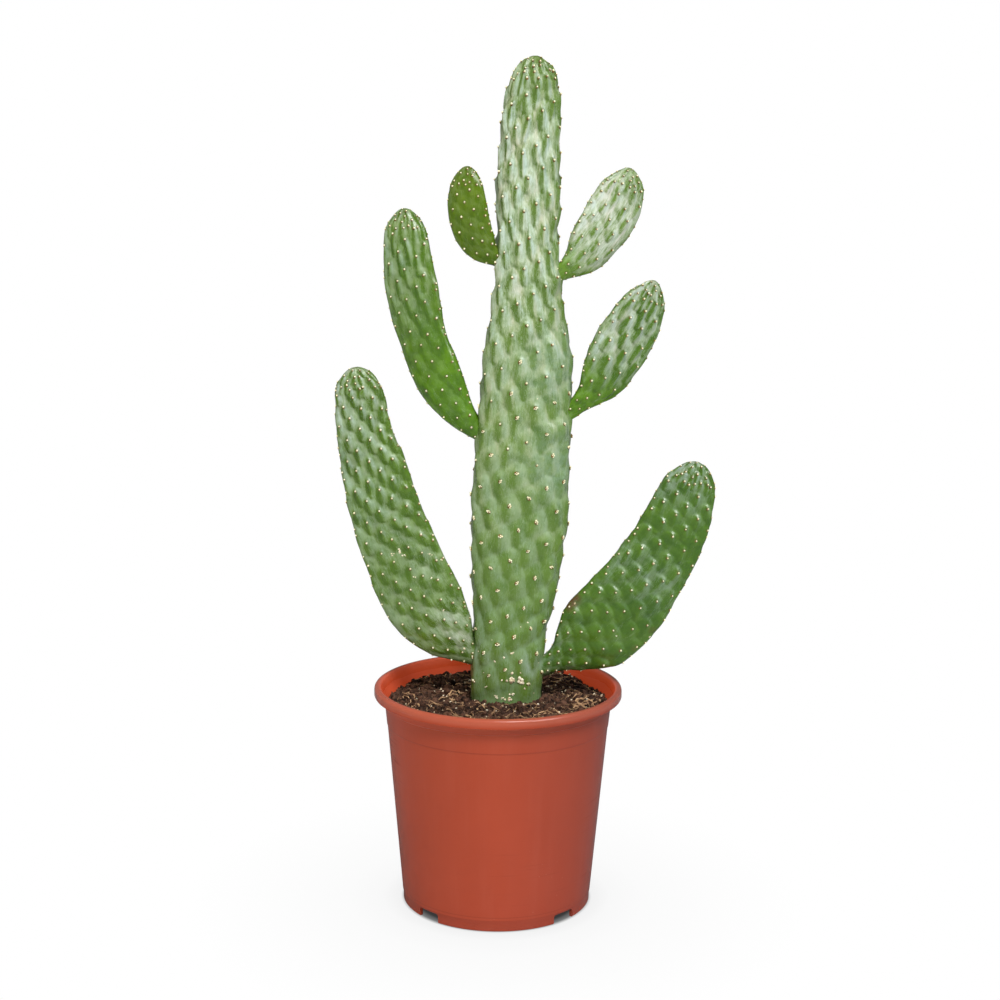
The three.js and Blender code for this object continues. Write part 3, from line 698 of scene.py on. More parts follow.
def raise_tubercles(stem, places, straight, seed, marks):
    """How far the skin lies below the summits in millimetres, and the masks that the
    colours follow: the green backs of the tubercles, the mounds and the areoles."""
    shape = stem.shape
    sides = straight.shape[1]
    girth = stem.girth_at(places)[:, None]
    rise = stem.rise_at(places)[:, None]
    u = np.arange(sides)[None, :] / sides
    slide = 0.20 * drift(straight, 34, seed)
    climb = 0.16 * drift(straight, 41, seed + 9)
    mounds, drops, green, tone, near, best = (
        np.full((len(places), sides), start) for start in (0.0, 0.0, 0.0, 0.5, 99.0, -9.0))
    for k, (i, j, au, arise, aplace, cell, weight) in enumerate(marks):
        rows = np.where(np.abs(rise[:, 0] - arise) < 2.2 * cell)[0]
        if not len(rows):
            continue
        rows = slice(rows[0], rows[-1] + 1)
        own = [math.sin(k * 7.13 + seed), math.sin(k * 3.71 + seed), math.sin(k * 5.39 - seed)]
        wide, foot = (float(smooth_line(shape["drops"], c, aplace)) for c in (1, 2))
        wide *= 1 + 0.22 * own[0]
        foot *= 1 + 0.18 * own[1]
        dx = (u - au - np.round(u - au)) / cell + slide[rows] - slide[i, j]
        dy = (rise[rows] - arise) / cell + climb[rows] - climb[i, j]
        dx = dx + 0.10 * own[2] * np.maximum(-dy, 0)
        above, below, across = shape["mound"]
        mound = weight - (dx / across) ** 2 - (dy / np.where(dy > 0, above, below)) ** 2
        mounds[rows] += np.exp(7 * np.clip(mound, -1.5, 1))
        drop = drop_form(dx, dy, wide, foot * weight) * (1 + 0.15 * own[1]) * weight ** 0.5
        drops[rows] = np.maximum(drops[rows], drop)
        back = drop_form(dx + 0.5 * wide, dy + 0.05, wide * shape["green"], foot * weight)
        green[rows] = np.maximum(green[rows], back * weight)
        near[rows] = np.minimum(near[rows], np.hypot(dx, dy) * cell * girth[rows])
        wins = mound > best[rows]
        best[rows] = np.where(wins, mound, best[rows])
        tone[rows] = np.where(wins, 0.5 + 0.5 * own[0], tone[rows])
    mounds = np.clip(np.log(np.maximum(mounds, 1e-4)) / 7, -0.2, 1)
    drops = np.clip(drops, 0, 1.1)
    share, strength = (smooth_line(shape["drops"], c, places)[:, None] for c in (3, 4))
    step = shape["advance"] / np.maximum(girth, 0.6 * stem.girths.max())
    size = np.minimum(1, np.sqrt(step) * girth / 14)
    crown = 0.32 * soft_step(places, 0.9, 0.96) * (1 - soft_step(places, 0.98, 1))
    size = np.maximum(size, crown[:, None])
    height = (1 - share) * mounds + share * drops
    edge = np.abs(straight[..., 0]) / stem.half_sizes(places)[0][:, None]
    edge = 1 - shape["flat_edge"] * soft_step(edge, 0.75, 1.0)
    depth = shape["relief"] * strength * size * (1 - height) * edge
    return depth, dict(green=green, mound=np.clip(mounds, 0, 1), near=near, tone=tone)


def painted_light_from_right(stem, places, depth):
    """From 0 where the skin falls steeply to the left to 1 where it falls to the right or
    upwards. The skin's colour follows it as painted light from the upper right: paler and bluer
    towards 1, and a deep green painted shade towards 0."""
    run = stem.girth_at(places)[:, None] / depth.shape[1]
    to_right = (np.roll(depth, -1, 1) - np.roll(depth, 1, 1)) / (2 * run)
    climb = np.gradient(places)[:, None] * stem.length
    upwards = np.gradient(depth, axis=0) / np.minimum(climb, -0.2)
    slope = 0.85 * to_right + 0.45 * upwards
    slope = (slope + np.roll(slope, 1, 1) + np.roll(slope, -1, 1)) / 3
    return np.clip(0.5 + slope, 0, 1)


def grow_stem(name, shape, sides, rings, seed, swellings=()):
    """The finished skin of one stem, as a mesh with its masks, and the places, directions
    and sizes of its areoles. A swelling is (x, z, radius, height), seen from the front."""
    stem = Stem(shape)
    places = even_places(stem, rings)
    grid, straight = stem.skin(places, sides)
    around = np.roll(grid, -1, 1) - np.roll(grid, 1, 1)
    normal = np.cross(around, -np.gradient(grid, axis=0))
    normal /= np.maximum(np.linalg.norm(normal, axis=2), 1e-9)[..., None]
    marks = [(int(np.argmin(np.abs(places - a[2]))), int(round(a[0] * sides)) % sides, *a)
             for a in stem.areoles()]
    depth, masks = raise_tubercles(stem, places, straight, seed, marks)
    depth -= 0.8 * drift(straight, 26, seed + 4)
    depth -= 0.16 * drift(straight, 6, seed + 5)
    calm = soft_step(1 - places, 0, 1.5 * shape["tip"])[:, None]
    calm = calm * (0.25 + 0.75 * soft_step(places, 0.15, 0.6)[:, None])
    depth -= calm * shape["fluting"] * drift(straight * [1, 1, 0.2], 5.5, seed + 6)
    # Painted light from the upper right, which the skin's colour follows.
    masks["painted_flank_light"] = painted_light_from_right(stem, places, depth)
    masks["place"] = np.repeat(places[:, None], sides, 1)
    for x, z, radius, height in swellings:
        away = np.hypot(grid[..., 0] - x, grid[..., 2] - z)
        depth -= height * np.exp(-(away / radius) ** 2)
    grid = grid - normal * depth[..., None]
    mesh, ring, side = ring_ball(name, sides, rings)
    middle, ahead, _, _ = stem.frames([0.0, 1.0])
    row = np.clip(ring - 1, 0, rings - 2)
    spots = grid[row, side]
    spots[ring == 0] = grid[0].mean(0)
    spots[ring == rings] = middle[0]
    to_mesh(mesh, spots)
    for key, values in masks.items():
        attribute = mesh.attributes.new(key, "FLOAT", "POINT")
        attribute.data.foreach_set("value", values[row, side].astype(np.float32))
    attribute = mesh.attributes.new("straight", "FLOAT_VECTOR", "POINT")
    length = straight[row, side] * MM
    attribute.data.foreach_set("vector", length.astype(np.float32).ravel())
    cushions = [(grid[i, j], normal[i, j], ahead[1], cell * stem.girth_at(a) * weight, a)
                for i, j, _, _, a, cell, weight in marks]
    return link(mesh), cushions, (grid, normal)


def waxy_skin_group():
    """The colour, gloss and relief of living cactus skin. Bloom is a pale waxy coat that lies
    thick on the flats and thin on the green backs of the tubercles. Light from the upper right
    is painted into the colour as well: paler, bluer skin where it faces right or up, and a deep
    green painted shade where it faces left."""
    group = bpy.data.node_groups.new("waxy_skin", "ShaderNodeTree")
    for way, kind, names in (
            ("INPUT", "Color", ("Green", "Deep", "Bloom", "Tint")),
            ("INPUT", "Float", ("Bloom Share", "Contrast", "Veins", "Streaks", "Painted Light")),
            ("OUTPUT", "Color", ("Colour",)), ("OUTPUT", "Float", ("Roughness", "Height"))):
        for name in names:
            group.interface.new_socket(name=name, in_out=way,
                                       socket_type="NodeSocket" + kind)
    into = node(group, "NodeGroupInput")
    share, deep, streaks = into["Bloom Share"], into["Deep"], into["Streaks"]
    green, painted_flank_light, mound, near, tone = (
        mask(group, key) for key in ("green", "painted_flank_light", "mound", "near", "tone"))
    spot = mask(group, "straight")["Vector"]
    long = stretched(spot, (1, 1, 0.22))
    streak, hairs = grain(long, 240.0, 5.0, 0.65, 0.6), grain(long, 620.0, 3.0, 0.6)
    patch, cloud = grain(spot, 24.0, 4.0, 0.6), grain(spot, 80.0, 4.0, 0.6)
    warm = grain(long, 120.0, 4.0, distortion=0.5)
    vein = (grain(long, 520.0, distortion=1.4) - 0.5).math("ABSOLUTE")
    vein = vein.spread(0.035, 0.0) * into["Veins"] * share.spread(0.0, 0.4, 0.2, 1.0)
    vary = patch.spread(0.3, 0.7, -0.16, 0.16) + cloud.spread(0.3, 0.7, -0.14, 0.14)
    grown = streak.spread(0.3, 0.7, -0.5, 0.5) * streaks
    vary += grown * share.spread(0.0, 0.4, 0.3, 1.0)
    vary += hairs.spread(0.36, 0.64, -1.2, 1.2) * streaks * share
    # Painted light: a thicker pale coat where the skin faces right or up, a thinner one where it
    # faces left.
    vary += painted_flank_light.spread(0.0, 1.0, -1.0, 1.0) * into["Painted Light"]
    vary -= green.spread(0.05, 0.95) * into["Contrast"]
    vary += tone.spread(0, 1, -0.08, 0.08)
    vary += mound.spread(0.0, 0.8, 0.22, -0.1)
    coat = (vary * share.spread(0.0, 0.4, 0.25, 1.0) + share).spread(0.0, 1.0)
    coat = (coat + vein).spread(0.0, 1.0)
    skin = blend(cloud.spread(0.35, 0.65), deep, into["Green"])
    skin = blend(tone * 0.3, skin, into["Green"])
    wax_and_cool_sheen = blend(warm.spread(0.42, 0.68), into["Bloom"], into["Tint"])
    # Painted cool light: the wax turns bluer where the skin faces right.
    wax_and_cool_sheen = blend(painted_flank_light.spread(0.5, 0.9) * 0.5, wax_and_cool_sheen, (0.46, 0.60, 0.58))
    # Painted shade: deep green where the skin faces left.
    base = layered(blend(coat, skin, wax_and_cool_sheen), [(painted_flank_light.spread(0.5, 0.1) * 0.55, deep),
                                            (near.spread(2.4, 1.2) * 0.45, (0.10, 0.10, 0.03))])
    rough = coat.spread(0, 1, 0.22, 0.52) + streak.spread(0.3, 0.7, -0.06, 0.06)
    wrinkle = streak * share.spread(0.0, 0.4, 0.1, 1.0) + cloud * 0.8
    wrinkle = wrinkle + cells(spot, 1500.0) * 0.12 + vein * 0.25
    connect(group.nodes.new("NodeGroupOutput"),
            {"Colour": base, "Roughness": rough, "Height": wrinkle})
    return group


def distance(spot, place):
    return node(spot.tree, "ShaderNodeVectorMath", {0: spot, 1: place}, 1,
                operation="DISTANCE")


def grey_ramp(value, table):
    """A ramp of greys. The table holds the place and the lightness of each stop."""
    shade = node(value.tree, "ShaderNodeValToRGB", {0: value})
    stops = shade.socket.node.color_ramp.elements
    while len(stops) < len(table):
        stops.new(0.5)
    for stop, (at, light) in zip(stops, table):
        stop.position = at
        stop.color = (light, light, light, 1)
    return shade


waxy_skin = waxy_skin_group()


def stem_skin(name, green, deep, bloom, tint, share, contrast=0.3, veins=0.3, streaks=0.3,
              painted_light_amount=0.35, shine=0.35, foot=None, foot_reach=(0.1, 0.4), foot_bloom=None,
              patches=(), stains_and_sheens=()):
    """share is the coat of bloom along the stem, as a grey ramp's table. The foot is a second
    green for the lower end, which gives way to the first over its reach. A patch is (x, z,
    radius, amount), a spot on the front where more bloom is left, and a stained spot is such a
    spot with a colour of its own before it and its depth after it: dried skin there is a real
    scar, a cool green sheen there is painted light. One more amount sets how strongly light from
    the right is painted into the skin."""
    material, skin, spot = new_material(name)
    place = mask(spot.tree, "place")

    def around(x, z, radius, amount, y=-12):
        away = distance(spot, (POT_AXIS + x * MM, y * MM, z * MM))
        return away.spread(radius * MM, 0.3 * radius * MM, 0.0, amount)

    left = grey_ramp(place, share)
    for patch in patches:
        left += around(*patch)
    if foot:
        green = blend(place.spread(*foot_reach), foot, green)
    if foot_bloom:
        bloom, tint = (blend(place.spread(0.2, 0.45), foot_bloom, colour)
                       for colour in (bloom, tint))
    coat = node(spot.tree, "ShaderNodeGroup",
                {"Green": green, "Deep": deep, "Bloom": bloom, "Tint": tint,
                 "Bloom Share": left, "Contrast": contrast, "Veins": veins,
                 "Streaks": streaks, "Painted Light": painted_light_amount}, node_tree=waxy_skin)
    # Painted shade: the colour darkens to deep green and near black towards the stem's outline.
    painted_edge_shade = node(spot.tree, "ShaderNodeLayerWeight", {"Blend": 0.3}, "Facing")
    base = layered(coat, [(painted_edge_shade.spread(0.25, 0.75, 0.0, 0.85), deep),
                          (painted_edge_shade.spread(0.6, 0.95, 0.0, 0.6), (0.05, 0.055, 0.018))])
    # Dried skin laid here is a real scar; the cool green sheen laid here is painted light.
    for colour, *tinted_spot in stains_and_sheens:
        flecks = grain(spot, 260.0, 3.0).spread(0.35, 0.6, 0.35, 1.0)
        base = blend(around(*tinted_spot) * flecks, base, colour)
    connect(skin, {"Base Color": base, "Roughness": coat["Roughness"],
                   "Normal": bump(coat["Height"], 0.6, 0.0009),
                   "Specular IOR Level": shine})
    return material


def areole(bm, cushion, tufts, bristles=0):
    """One areole, a unit across: a brown felt cushion low on its left, which is the areole's
    real felt and also stands in for its shadow there as painted shade, cream tufts over it and
    short bristles. The cushion and each tuft are given by their centre and size."""
    lump(bm, *cushion)
    brown = len(bm.faces)
    for tuft in tufts:
        lump(bm, *tuft)
    for face in bm.faces:
        face.smooth = True
    for k in range(bristles):
        lean = Matrix.Rotation(k * 2.4, 4, "Z") @ Matrix.Rotation(0.35 + 0.09 * k, 4, "X")
        place = Matrix.Translation((0.05, 0.08, 0.08)) @ lean @ Matrix.Translation((0, 0, 0.3))
        bmesh.ops.create_cone(bm, cap_ends=True, segments=3, radius1=0.1, radius2=0.02,
                              depth=0.5, matrix=place)
    bm.faces.ensure_lookup_table()
    for face in bm.faces[brown:]:
        face.material_index = 1


# The tuft of an old areole has broken up into four woolly knots.
young = shape_of("young_areole", areole, ((-0.12, -0.2, -0.08), (0.6, 0.62, 0.3)),
                 [((0.1, 0.12, 0.1), (0.46, 0.48, 0.4))], 6)
old = shape_of("old_areole", areole, ((-0.12, -0.2, 0.02), (0.72, 0.85, 0.3)),
               [((x, y, z), (size, size * 1.1, size)) for x, y, z, size in (
                   (0.04, 0.44, 0.2, 0.36), (0.3, -0.12, 0.24, 0.29),
                   (-0.32, 0.0, 0.18, 0.22), (0.04, -0.64, 0.16, 0.27))])
felt = loose_matter("brown_felt", (0.09, 0.05, 0.012), (0.28, 0.17, 0.045), 0.95, 900.0)
cream = loose_matter("cream_bristle", (0.9, 0.82, 0.47), (1.0, 0.98, 0.73), 0.8, 900.0)


def set_areoles(name, cushions, seed, width, old_below=-1.0):
    """One areole on every summit, standing on the skin and turned up the stem. The ones
    below a given place on the stem are old."""
    rng = random.Random(seed)
    bm = bmesh.new()
    for spot, out, ahead, gap, place in cushions:
        z = Vector(out).normalized()
        y = Vector(ahead) - z * Vector(ahead).dot(z)
        if y.length < 0.05:
            y = Vector((0.3, 0.2, 1)) - z * Vector((0.3, 0.2, 1)).dot(z)
        y.normalize()
        aged = rng.random() < soft_step(old_below - place, -0.12, 0.12)
        size = width * min(1, 0.5 + 0.05 * gap) * rng.uniform(0.85, 1.15) * MM
        size *= 1.15 if aged else 1
        twist = rng.uniform(-0.6, 0.6) * (2.5 if aged else 1)
        turn = Matrix((y.cross(z), y, z)).transposed() @ Matrix.Rotation(twist, 3, "Z")
        centre = Vector(spot) * MM + Vector((POT_AXIS, 0, 0))
        for v in set_down(bm, old if aged else young):
            v.co = centre + turn @ v.co * size
    return link(keep_mesh(name, bm), felt, cream)


def corky_scabs(name, face, spots, seed, others):
    """Old wounds closed with pale knobs of cork. Each spot is (x, z, size) in millimetres,
    seen from the front. The others lie at random over the lower part of the stem."""
    rng = random.Random(seed)
    grid, normal = face
    bm = bmesh.new()
    chosen = []
    for x, z, size in spots:
        away = np.hypot(grid[..., 0] - x, grid[..., 2] - z) + 99 * (normal[..., 1] > -0.1)
        chosen.append((*np.unravel_index(np.argmin(away), away.shape), size))
    for _ in range(others):
        row = int(len(grid) * (1 - 0.4 * rng.random() ** 1.2)) - 1
        column = int(grid.shape[1] * rng.uniform(0.02, 0.48))
        chosen.append((row, column, rng.uniform(1.2, 3.6)))
    for row, column, size in chosen:
        z = Vector(normal[row, column]).normalized()
        x = z.orthogonal().normalized()
        y = z.cross(x)
        for _ in range(1 if size < 1.8 else int(1 + size)):
            aside = rng.gauss(0, 0.24 * size), rng.gauss(0, 0.24 * size)
            centre = Vector(grid[row, column]) + x * aside[0] + y * aside[1]
            radius = rng.uniform(0.55, 1) * (0.35 + 0.19 * size)
            for v in set_down(bm, knob):
                flat = Vector((v.co.x, v.co.y, 0.6 * v.co.z)) * rng.uniform(0.85, 1.15)
                spot = centre + (x * flat.x + y * flat.y + z * flat.z) * radius
                v.co = spot * MM + Vector((POT_AXIS, 0, 0))
    mesh = keep_mesh(name, bm)
    mesh.shade_smooth()
    return link(mesh, cork)


knob = shape_of("cork_knob", lump)
cork = loose_matter("pale_cork", (0.62, 0.50, 0.30), (0.98, 0.92, 0.70), 0.85, 700.0)
# A cool blue-green sheen, painted light laid as broad spots on the trunk's right side.
painted_cool_sheen = (0.28, 0.41, 0.33)
trunk, trunk_cushions, trunk_face = grow_stem(
    "trunk_skin", TRUNK, 200, 480, 3.0,
    swellings=[(-37, 402, 12, 3), (47, 412, 10, 3), (42, 536, 9, 3), (-14, 547, 8, 2)])
trunk.data.materials.append(stem_skin(
    "trunk_waxy_skin", green=(0.168, 0.268, 0.052), deep=(0.088, 0.165, 0.028),
    bloom=(0.52, 0.62, 0.44), tint=(0.60, 0.59, 0.42), foot=(0.125, 0.22, 0.033),
    foot_reach=(0.25, 0.7), foot_bloom=(0.27, 0.38, 0.25),
    share=[(0.04, 0.12), (0.13, 0.21), (0.25, 0.13), (0.42, 0.15), (0.6, 0.3), (0.78, 0.55),
           (0.89, 0.55), (0.95, 0.32), (1, 0.12)],
    contrast=0.34, veins=0.35, streaks=0.36, painted_light_amount=0.3,
    patches=[(-10, 222, 14, 0.35), (27, 214, 16, 0.35), (-30, 350, 22, 0.15)],
    stains_and_sheens=[(painted_cool_sheen, 50, 385, 42, 0.3, -16), (painted_cool_sheen, 48, 465, 42, 0.25, -16)]))
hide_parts("trunk")
trunk_areoles = set_areoles("trunk_areoles", trunk_cushions, 5, 2.0, old_below=0.5)
trunk_scabs = corky_scabs("trunk_scabs", trunk_face, [
    (-6, 234, 1.6), (19, 246, 1.7), (25, 250, 2), (5, 220, 2.2), (12, 223, 3.2),
    (-3, 216, 2.4), (11, 201, 8), (20, 201, 8), (19, 207, 2), (3, 201, 2.2), (-10, 194, 2.4),
    (23, 193, 2), (12, 188, 4), (-1, 185, 4), (10, 183, 5), (4, 184, 3), (30, 439, 1.6),
    (-17, 224, 1.6), (-12, 206, 1.4), (34, 214, 1.6), (30, 186, 1.7)], 71, 26)
for piece in (trunk, trunk_areoles, trunk_scabs):
    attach(piece, "root")


# The pads. Six flat side stems, three on each side of the trunk, grown from areoles on
# its edges. Each narrows to a short neck there, and is thinner and greener than the trunk.
dried_skin = (0.12, 0.062, 0.028)


def grow_pad(name, seed, sides, rings, skin, scabs=(), others=3, **shape):
    body, cushions, face = grow_stem(
        name + "_skin", dict(shape, flat_edge=0.6), sides, rings, seed * 0.37)
    body.data.materials.append(stem_skin(name + "_waxy_skin", **skin))
    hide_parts(name)
    dots = set_areoles(name + "_areoles", cushions, seed, 1.7)
    knobs = corky_scabs(name + "_scabs", face, scabs, seed, others)
    for piece in (body, dots, knobs):
        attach(piece, "root")


grow_pad(
    "pad_left_low", 41, 136, 300,
    curve=[(-12, 0, 214), (-58, -3, 226), (-104, -9, 331), (-120, -15, 464)],
    stations=[(0, 9, 9), (0.035, 10, 9), (0.08, 16, 9.2), (0.129, 25, 9.6, -0.6),
              (0.226, 33.4, 10, -1.4), (0.323, 34.6, 10, -1.2), (0.42, 33.6, 9.8),
              (0.516, 31.8, 9.6, -0.5), (0.613, 30.4, 9.4, -0.4), (0.71, 28, 9, -0.5),
              (0.806, 24.4, 8.6, -1.4), (0.903, 21.6, 8), (1, 18.4, 6.5)],
    turn=-7, tip=0.08, advance=1.42, spiral=0.42, start=0.11, green=1.1, relief=3.5,
    margin=8, fluting=0.2, mound=(0.5, 0.95, 0.68),
    drops=[(0, 0.2, 0.7, 0.35, 0.3), (0.35, 0.22, 0.75, 0.45, 0.6),
           (0.6, 0.24, 0.85, 0.55, 1), (1, 0.2, 0.9, 0.6, 1)],
    skin=dict(green=(0.11, 0.21, 0.015), deep=(0.05, 0.115, 0.008), bloom=(0.42, 0.52, 0.32),
              tint=(0.40, 0.43, 0.33), contrast=0.35, shine=0.5,
              share=[(0.1, 0.22), (0.35, 0.14), (0.6, 0.18), (0.85, 0.29), (1, 0.4)],
              patches=[(-42, 250, 26, 0.28), (-31, 231, 12, 0.35), (-60, 298, 20, 0.12)]),
    scabs=[(-84, 311, 3.2), (-83, 308, 2.6), (-89, 307, 3), (-80, 306, 2.8),
           (-71, 288, 2.8), (-58, 307, 3), (-57, 287, 2.4), (-48, 302, 2), (-46, 258, 2.2),
           (-29, 225, 2.8)],
    others=12)
grow_pad(
    "pad_left_mid", 43, 112, 250,
    curve=[(-10, 0, 404), (-56, 3, 431), (-79.2, 8, 511), (-81, 12, 593.6)],
    stations=[(0, 7, 7.5), (0.05, 7.8, 7.5), (0.18, 16.2, 8.2), (0.267, 21, 8.8),
              (0.35, 22.2, 9), (0.44, 21.8, 9), (0.52, 22.8, 9), (0.6, 24, 9),
              (0.686, 24.6, 8.8), (0.76, 23, 8.6), (0.84, 22, 8.2), (0.914, 19, 7.6),
              (1, 14.6, 6.2)],
    turn=-24, tip=0.1, advance=1.9, spiral=0.618, start=0.47, green=0.9, relief=3,
    margin=8, fluting=0.3, mound=(0.62, 1.05, 0.6),
    drops=[(0, 0.2, 0.8, 0.3, 0.25), (0.4, 0.2, 0.9, 0.3, 0.5), (0.6, 0.2, 1.2, 0.5, 0.8),
           (1, 0.17, 1.3, 0.6, 1)],
    skin=dict(green=(0.105, 0.21, 0.008), deep=(0.05, 0.13, 0.004), bloom=(0.40, 0.50, 0.28),
              tint=(0.40, 0.43, 0.3), foot=(0.105, 0.25, 0.003), foot_reach=(0.25, 0.6),
              share=[(0.1, 0.03), (0.45, 0.03), (0.65, 0.16), (1, 0.32)], shine=0.6))
grow_pad(
    "pad_left_top", 47, 100, 140,
    curve=[(4, 0, 549), (-25, -3, 566), (-28.5, -6, 584), (-28.3, -8, 628)],
    stations=[(0, 5.5, 6), (0.1, 7, 6, -1), (0.17, 9.8, 6.4, -2), (0.29, 15.4, 7, -2),
              (0.38, 17.2, 7.2, -2), (0.47, 17.8, 7.4, -2), (0.64, 17.7, 7.4, -1.8),
              (0.8, 15.2, 7, -1), (0.9, 13, 6.5, -0.2), (1, 10.8, 5.6, 0.2)],
    turn=-26, tip=0.2, advance=1.32, spiral=0.382, start=0.2, green=0.9, relief=1.5,
    margin=7, fluting=0.1, mound=(0.6, 0.8, 0.65),
    drops=[(0, 0.2, 0.6, 0.4, 0.5), (1, 0.2, 0.6, 0.4, 0.9)],
    skin=dict(green=(0.108, 0.187, 0.003), deep=(0.06, 0.128, 0.003),
              bloom=(0.21, 0.29, 0.08), tint=(0.22, 0.27, 0.1), contrast=0.2,
              share=[(0, 0.1), (1, 0.14)], veins=0.15))
grow_pad(
    "pad_right_low", 53, 140, 280,
    curve=[(33, 0, 203), (90, -4, 235), (145.5, -12, 290), (165.6, -19, 388.6)],
    stations=[(0, 8, 9), (0.046, 9, 9), (0.094, 12.4, 9.2), (0.141, 21, 9.6),
              (0.237, 34.4, 10, 0.6), (0.332, 37.4, 10, 0.2), (0.427, 36.6, 10, -0.7),
              (0.523, 33.8, 9.8, -1.6), (0.618, 32.2, 9.4, -1.8), (0.713, 30.2, 9, -1.6),
              (0.809, 28.4, 8.6, -2), (0.905, 23.4, 7.8, -2.8), (1, 18.4, 6.4, -2.2)],
    turn=5, tip=0.1, advance=1.52, spiral=0.58, start=0.63, green=1.1, relief=4.0,
    margin=8, fluting=0.2, mound=(0.34, 1.0, 0.85),
    drops=[(0, 0.2, 0.6, 0.2, 0.5), (0.4, 0.2, 0.7, 0.25, 0.75), (0.7, 0.2, 0.8, 0.4, 0.8),
           (1, 0.2, 0.8, 0.5, 1)],
    skin=dict(green=(0.083, 0.178, 0.011), deep=(0.04, 0.105, 0.01), bloom=(0.28, 0.39, 0.24),
              tint=(0.28, 0.34, 0.27), shine=0.5,
              share=[(0.05, 0.22), (0.2, 0.05), (0.4, 0.02), (0.55, 0.24), (0.68, 0.02),
                     (0.78, 0.03), (0.9, 0.26), (1, 0.4)],
              stains_and_sheens=[(dried_skin, 60.5, 263, 8, 1, -9), (dried_skin, 65, 269, 8, 1, -9),
                      (dried_skin, 132, 240, 6, 0.8), (dried_skin, 117, 224, 6, 0.8)]),
    scabs=[(64, 265, 2.4), (128, 235, 2), (127, 229, 2.4), (128, 222, 2), (100, 237, 1.8)],
    others=10)
grow_pad(
    "pad_right_mid", 59, 116, 170,
    curve=[(54, 0, 425), (90, -3, 453.5), (110, -6, 485), (124.8, -7, 537.4)],
    stations=[(0, 7.4, 6.5), (0.08, 8, 6.5, 0.8), (0.174, 12, 7, 1), (0.265, 19, 7.8),
              (0.357, 23.2, 8.4, -1.4), (0.449, 25.2, 8.8, -2.7), (0.54, 26.2, 8.8, -3.2),
              (0.632, 26.2, 8.6, -3.2), (0.724, 24.4, 8.2, -2.2), (0.816, 21.2, 7.6, -1.6),
              (0.91, 17.2, 6.8), (1, 12.8, 5.8, 0.8)],
    turn=22, tip=0.16, advance=1.85, spiral=0.618, start=0.05, green=1, relief=2.8,
    margin=7.5, fluting=0.25, mound=(0.62, 0.95, 0.62),
    drops=[(0, 0.2, 0.8, 0.5, 0.4), (0.4, 0.24, 1.05, 0.65, 1.1), (1, 0.22, 1.05, 0.65, 1.2)],
    skin=dict(green=(0.11, 0.215, 0.02), deep=(0.05, 0.12, 0.01), bloom=(0.52, 0.61, 0.43),
              tint=(0.50, 0.52, 0.40), foot=(0.13, 0.30, 0.006), painted_light_amount=0.4,
              share=[(0.15, 0.0), (0.3, 0.05), (0.45, 0.36), (1, 0.55)]))
grow_pad(
    "pad_right_top", 61, 112, 150,
    curve=[(42, 0, 539), (74, 3, 560), (92, 7, 577), (104.2, 10, 628)],
    stations=[(0, 7, 6), (0.09, 8.6, 6, 1.4), (0.18, 13.2, 6.6, 1.4), (0.27, 19, 7.4),
              (0.36, 22.4, 8, -1.2), (0.454, 23.8, 8.2, -1.8), (0.545, 24.4, 8.2, -1.2),
              (0.636, 24.6, 8, -1.1), (0.727, 24.2, 7.6, -0.3), (0.818, 21.6, 7.2, -0.5),
              (0.91, 17.8, 6.6, 0.5), (1, 12.6, 5.6, 0.8)],
    turn=26, tip=0.17, advance=1.72, spiral=0.382, start=0.83, green=0.6, relief=2.4,
    margin=7, fluting=0.3, mound=(0.62, 0.9, 0.62),
    drops=[(0, 0.2, 0.7, 0.5, 0.4), (0.4, 0.18, 0.7, 0.6, 0.9), (1, 0.18, 0.7, 0.6, 1)],
    skin=dict(green=(0.17, 0.28, 0.05), deep=(0.09, 0.17, 0.025), bloom=(0.60, 0.67, 0.52),
              tint=(0.62, 0.61, 0.5), foot=(0.17, 0.34, 0.02), contrast=0.45, veins=0.4,
              streaks=0.4, share=[(0.1, 0.0), (0.27, 0.4), (0.5, 0.62), (0.8, 0.58), (1, 0.12)]))


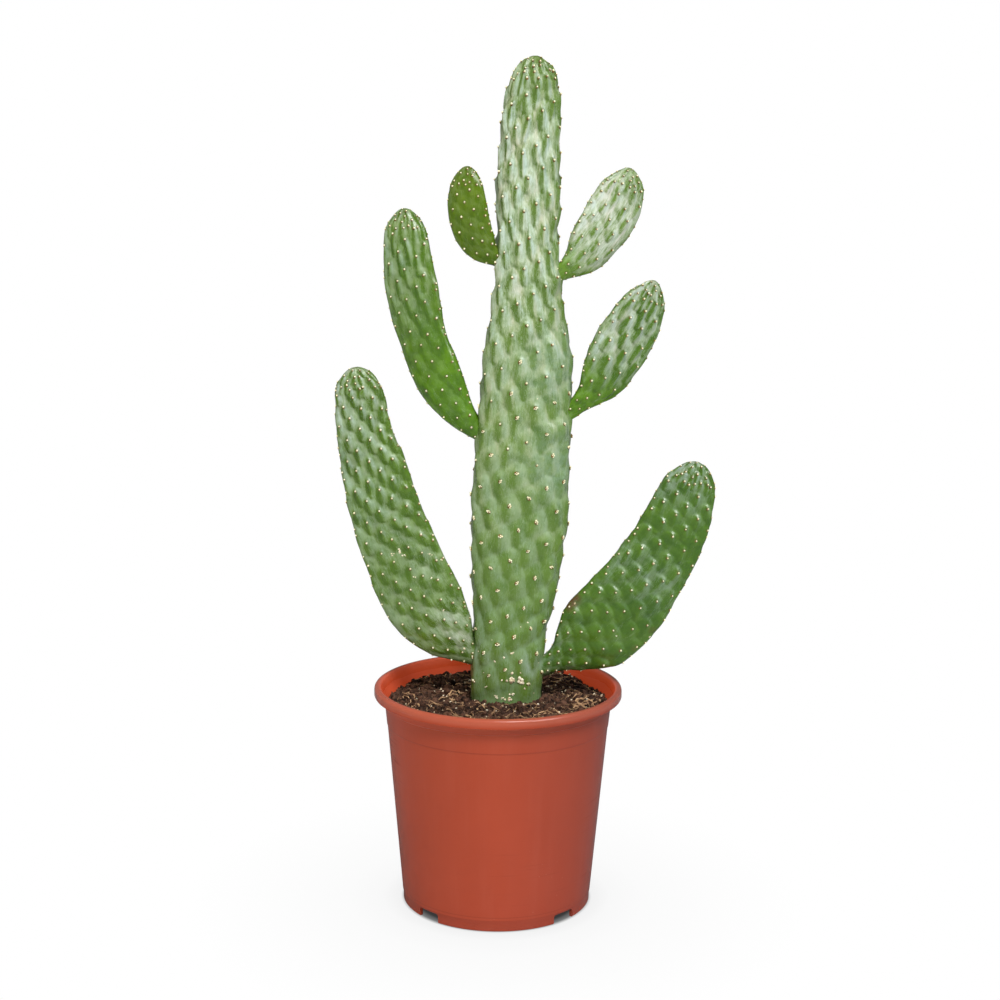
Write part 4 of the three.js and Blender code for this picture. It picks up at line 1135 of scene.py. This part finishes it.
# The studio. A plain pale floor under soft light, with the camera where the photograph
# was taken from.
def pale_floor():
    """A white table. It glows to the camera, as an overexposed sweep does, and its glow is
    painted darker beneath the pot and just round its foot: a painted shadow and a painted
    contact shadow.
    """
    bm = bmesh.new()
    bmesh.ops.create_grid(bm, x_segments=1, y_segments=1, size=12)
    material, paint, spot = new_material("pale_floor")
    seen = node(spot.tree, "ShaderNodeLightPath", out="Is Camera Ray")
    white = seen["Is Glossy Ray"].spread(0, 1, 0.9, 0.25) * seen.spread(0, 1, 1, 0)
    white = node(spot.tree, "ShaderNodeCombineColor", {0: white, 1: white, 2: white})
    # Painted shadow: the glow is dim under the pot and rises just outside its foot.
    away = distance(spot, (POT_AXIS, 0, 0)).spread(0.0, 0.3)
    shade = grey_ramp(away, [(0.24, 0.04), (0.262, 0.2), (0.277, 0.88), (0.33, 0.94),
                             (0.43, 0.965), (0.66, 0.985), (0.9, 1.0)])
    connect(paint, {"Base Color": white, "Roughness": 1.0, "Specular IOR Level": 0.0,
                    "Emission Color": shade, "Emission Strength": seen})
    return link(keep_mesh("floor", bm), material)


def far_softbox(name, turn, climb, width, power):
    """A large soft light far off, turned to the right of the camera and raised. All its
    angles are in degrees."""
    lamp = bpy.data.lights.new(name, "SUN")
    lamp.angle = math.radians(width)
    lamp.energy = power
    held = bpy.data.objects.new(name, lamp)
    bpy.context.scene.collection.objects.link(held)
    turn, climb = math.radians(turn), math.radians(climb)
    back = Vector((math.sin(turn) * math.cos(climb), -math.cos(turn) * math.cos(climb),
                   math.sin(climb)))
    held.matrix_world = back.to_track_quat("Z", "Y").to_matrix().to_4x4()
    return held


pale_floor()
far_softbox("key_light", 20, 50, 22, 3.2)
far_softbox("sheen_light", 50, 38, 26, 2.6).visible_diffuse = False
world = bpy.data.worlds.new("studio")
world.use_nodes = True
sky = world.node_tree
seen = node(sky, "ShaderNodeLightPath", out="Is Camera Ray")
gloss = seen["Is Glossy Ray"]
way = node(sky, "ShaderNodeSeparateXYZ", {0: node(sky, "ShaderNodeTexCoord", out="Generated")})
light = way.spread(-1, 1, 0.14, -0.14) + way[1].spread(-1, 1, 0.25, 0.75)
light = light * gloss.spread(0, 1, 1, 0) + gloss * way.spread(-1, 1, 0.34, 0.1)
hue = blend(way.spread(-1, 1), (1.1, 1.0, 0.7), (0.85, 1.0, 1.4))
hue = blend(seen.math("MAXIMUM", gloss), hue, (1, 1, 1))
connect(sky.nodes["Background"], {0: hue, 1: light.math("MAXIMUM", seen)})
bpy.context.scene.world = world
bpy.context.scene.view_settings.view_transform = "Standard"

camera = bpy.data.objects.new("camera", bpy.data.cameras.new("camera"))
bpy.context.scene.collection.objects.link(camera)
camera.data.sensor_width = 36
camera.data.lens = 63
camera.matrix_world = (Matrix.Translation((POT_AXIS, -1.456, 0.604))
                       @ Matrix.Rotation(math.radians(-0.012), 4, "Z")
                       @ Matrix.Rotation(math.radians(90 - 9.85), 4, "X")
                       @ Matrix.Rotation(math.radians(0.5), 4, "Z"))
bpy.context.scene.camera = camera
